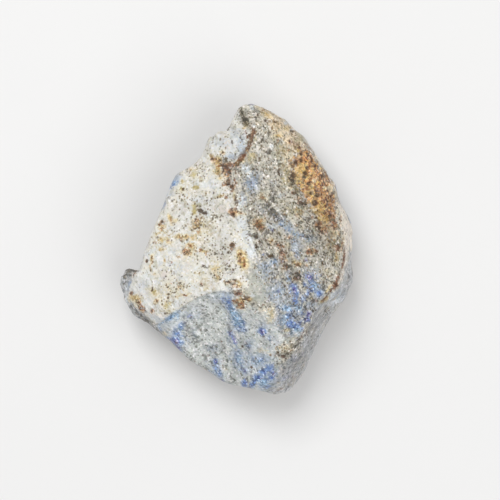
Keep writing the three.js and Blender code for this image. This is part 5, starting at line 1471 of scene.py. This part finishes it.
    # dark grains gathered in streaks, with clean ones between them; in a few patches this is painted shade
    dark = times(stain("dark"), ramped(tree, small[1], 0.12, 0.3, 0.35, 1.0))
    darkCover = mixedNumber(fresh, cover["dark"], cover["freshDark"])
    colour = mixed(times(dark, darkCover), colour, tone("darkGrainsAndShade"))
    pit = ramped(tree, wobble(wobble(field("pit"), fine, 1.1), small[0], 0.4), 0.42, 0.6)
    colour = mixed(times(pit, cover["pit"]), colour, tone("pitDark"))

    # brown lines in the grooves and cracks
    line = ramped(tree, wobble(wobble(field("crack"), clump, 1.4), small[2], 0.7), 0.34, 0.6)
    line = times(line, ramped(tree, grit[2], 0.7, 0.78, 1.0, 0.3))
    lineTone = mixed(ramped(tree, small[0], 0.4, 0.6), tone("lineBrown"), tone("rustDark"))
    colour = mixed(times(line, cover["line"]), colour, lineTone)

    # small dark specks with pale rings, more where the rock is speckled
    gathered = ramped(tree, wobble(field("speckle"), clump, 1.2), 0.2, 0.7)
    strength = times(mixedNumber(ochreField, 0.78, 0.3), mixedNumber(side, 1.0, 0.4))
    for scale, size, cleanStart, speckledStart in values["specks"]:
        dots = cells(tree, spot, scale)
        dot = parted(dots.outputs["Color"])
        chosen = sums(tree, "SUBTRACT", dot[0], mixedNumber(gathered, cleanStart, speckledStart))
        shown = sums(tree, "GREATER_THAN", chosen, 0.0)
        reach = times(ramped(tree, chosen, 0.0, 0.4, 0.3, 1.0), size, shown)
        gap = sums(tree, "SUBTRACT", wobble(reach, fine, 0.3), dots.outputs["Distance"])
        ring = times(ramped(tree, gap, -0.2, 0.0), shown, 0.2)
        colour = mixed(ring, colour, mixed(dot[2], tone("ochreHalo"), tone("chalkOlive")))
        mark = ramped(tree, gap, -0.04, 0.06)
        colour = mixed(times(mark, strength), colour,
                       mixed(dot[1], tone("speckBrown"), tone("speckGrey")))

    # light and dark grains and streaks, painted shade in the hollows and painted light on the bumps, and the
    # darker patches: darker rock in most places, painted shade in a few
    gain = sums(tree, "MULTIPLY_ADD", times(fromMiddle(grain), 2.0), contrast, 1.0)
    streaks = mixedNumber(side, layers, combed)
    gain = times(gain, ramped(tree, streaks, 0.3, 0.7, 1.1, 0.88), ramped(tree, clump, 0.3, 0.7, 0.92, 1.07))
    # painted shade and light: the fine relief's hollows are darkened and its bumps a little lightened
    gain = times(gain, ramped(tree, field("relief"), -0.28, 0.12, 0.8, 1.05))
    gain = times(gain, ramped(tree, wobble(field("shade"), clump, 0.8), 0.1, 0.9, 1.0, 0.72))
    gain = sums(tree, "MAXIMUM", gain, 0.2)
    centred = place(tree, "ShaderNodeVectorMath", {0: smallColour, 1: (0.5, 0.5, 0.5)},
                    operation="SUBTRACT").outputs[0]
    evenHue = sums(tree, "MAXIMUM", chalk, ochreField)
    shake = mixedNumber(evenHue, values["tintShake"], values["chalkShake"])
    shades = place(tree, "ShaderNodeVectorMath", {0: centred, 1: shake, 2: gain},
                   operation="MULTIPLY_ADD").outputs[0]
    gained = place(tree, "ShaderNodeVectorMath", {0: colour, 1: shades}, operation="MULTIPLY").outputs[0]
    tree.links.new(gained, shader.inputs["Base Color"])

    # lazurite shines a little more than the rock, the white face less, and a few grains glint
    rough = values["roughness"]
    glint = ramped(tree, small[1], 0.9, 0.94)
    roughness = mixedNumber(chalk, rough["rock"], rough["chalk"])
    roughness = mixedNumber(blue, roughness, rough["blue"])
    roughness = mixedNumber(times(glint, 0.6), roughness, rough["glint"])
    tree.links.new(roughness, shader.inputs["Roughness"])
    shader.inputs["Specular IOR Level"].default_value = values["specular"]

    bumpHeight = sums(tree, "MULTIPLY_ADD", fine, 1.6, times(small[0], 0.3))
    bumpHeight = mixedNumber(side, bumpHeight, plus(times(bumpHeight, 0.4), combed))
    bump = place(tree, "ShaderNodeBump", {**values["bump"], "Height": bumpHeight})
    tree.links.new(bump.outputs[0], shader.inputs["Normal"])
    return material


rockFinish = buildRock(rock)
print("the rock's finish is ready")


def makeStone(mesh, material):
    writePoints(mesh, readPoints(mesh) / 1000)
    base = bpy.data.objects.new("stoneBase", mesh)
    bpy.context.scene.collection.objects.link(base)
    tree = buildCrustTree(material)
    relief = base.modifiers.new("crust", "NODES")
    relief.node_group = tree
    for item in tree.interface.items_tree:
        if item.in_out == "INPUT" and item.name in crust:
            relief[item.identifier] = crust[item.name]
    graph = bpy.context.evaluated_depsgraph_get()
    final = bpy.data.meshes.new_from_object(base.evaluated_get(graph))
    bpy.data.objects.remove(base)
    final.name = "lapisStone"
    final.polygons.foreach_set("use_smooth", np.ones(len(final.polygons), bool))
    stone = bpy.data.objects.new("lapisStone", final)
    bpy.context.scene.collection.objects.link(stone)
    return stone


stone = makeStone(stoneMesh, rockFinish)
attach(stone, "root")
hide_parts("lapis_stone")
stonePoints = readPoints(stone.data) * 1000
print("stone in mm:", stonePoints.min(0).round(2), "to", stonePoints.max(0).round(2))
print("triangles:", len(stone.data.polygons) * 2)
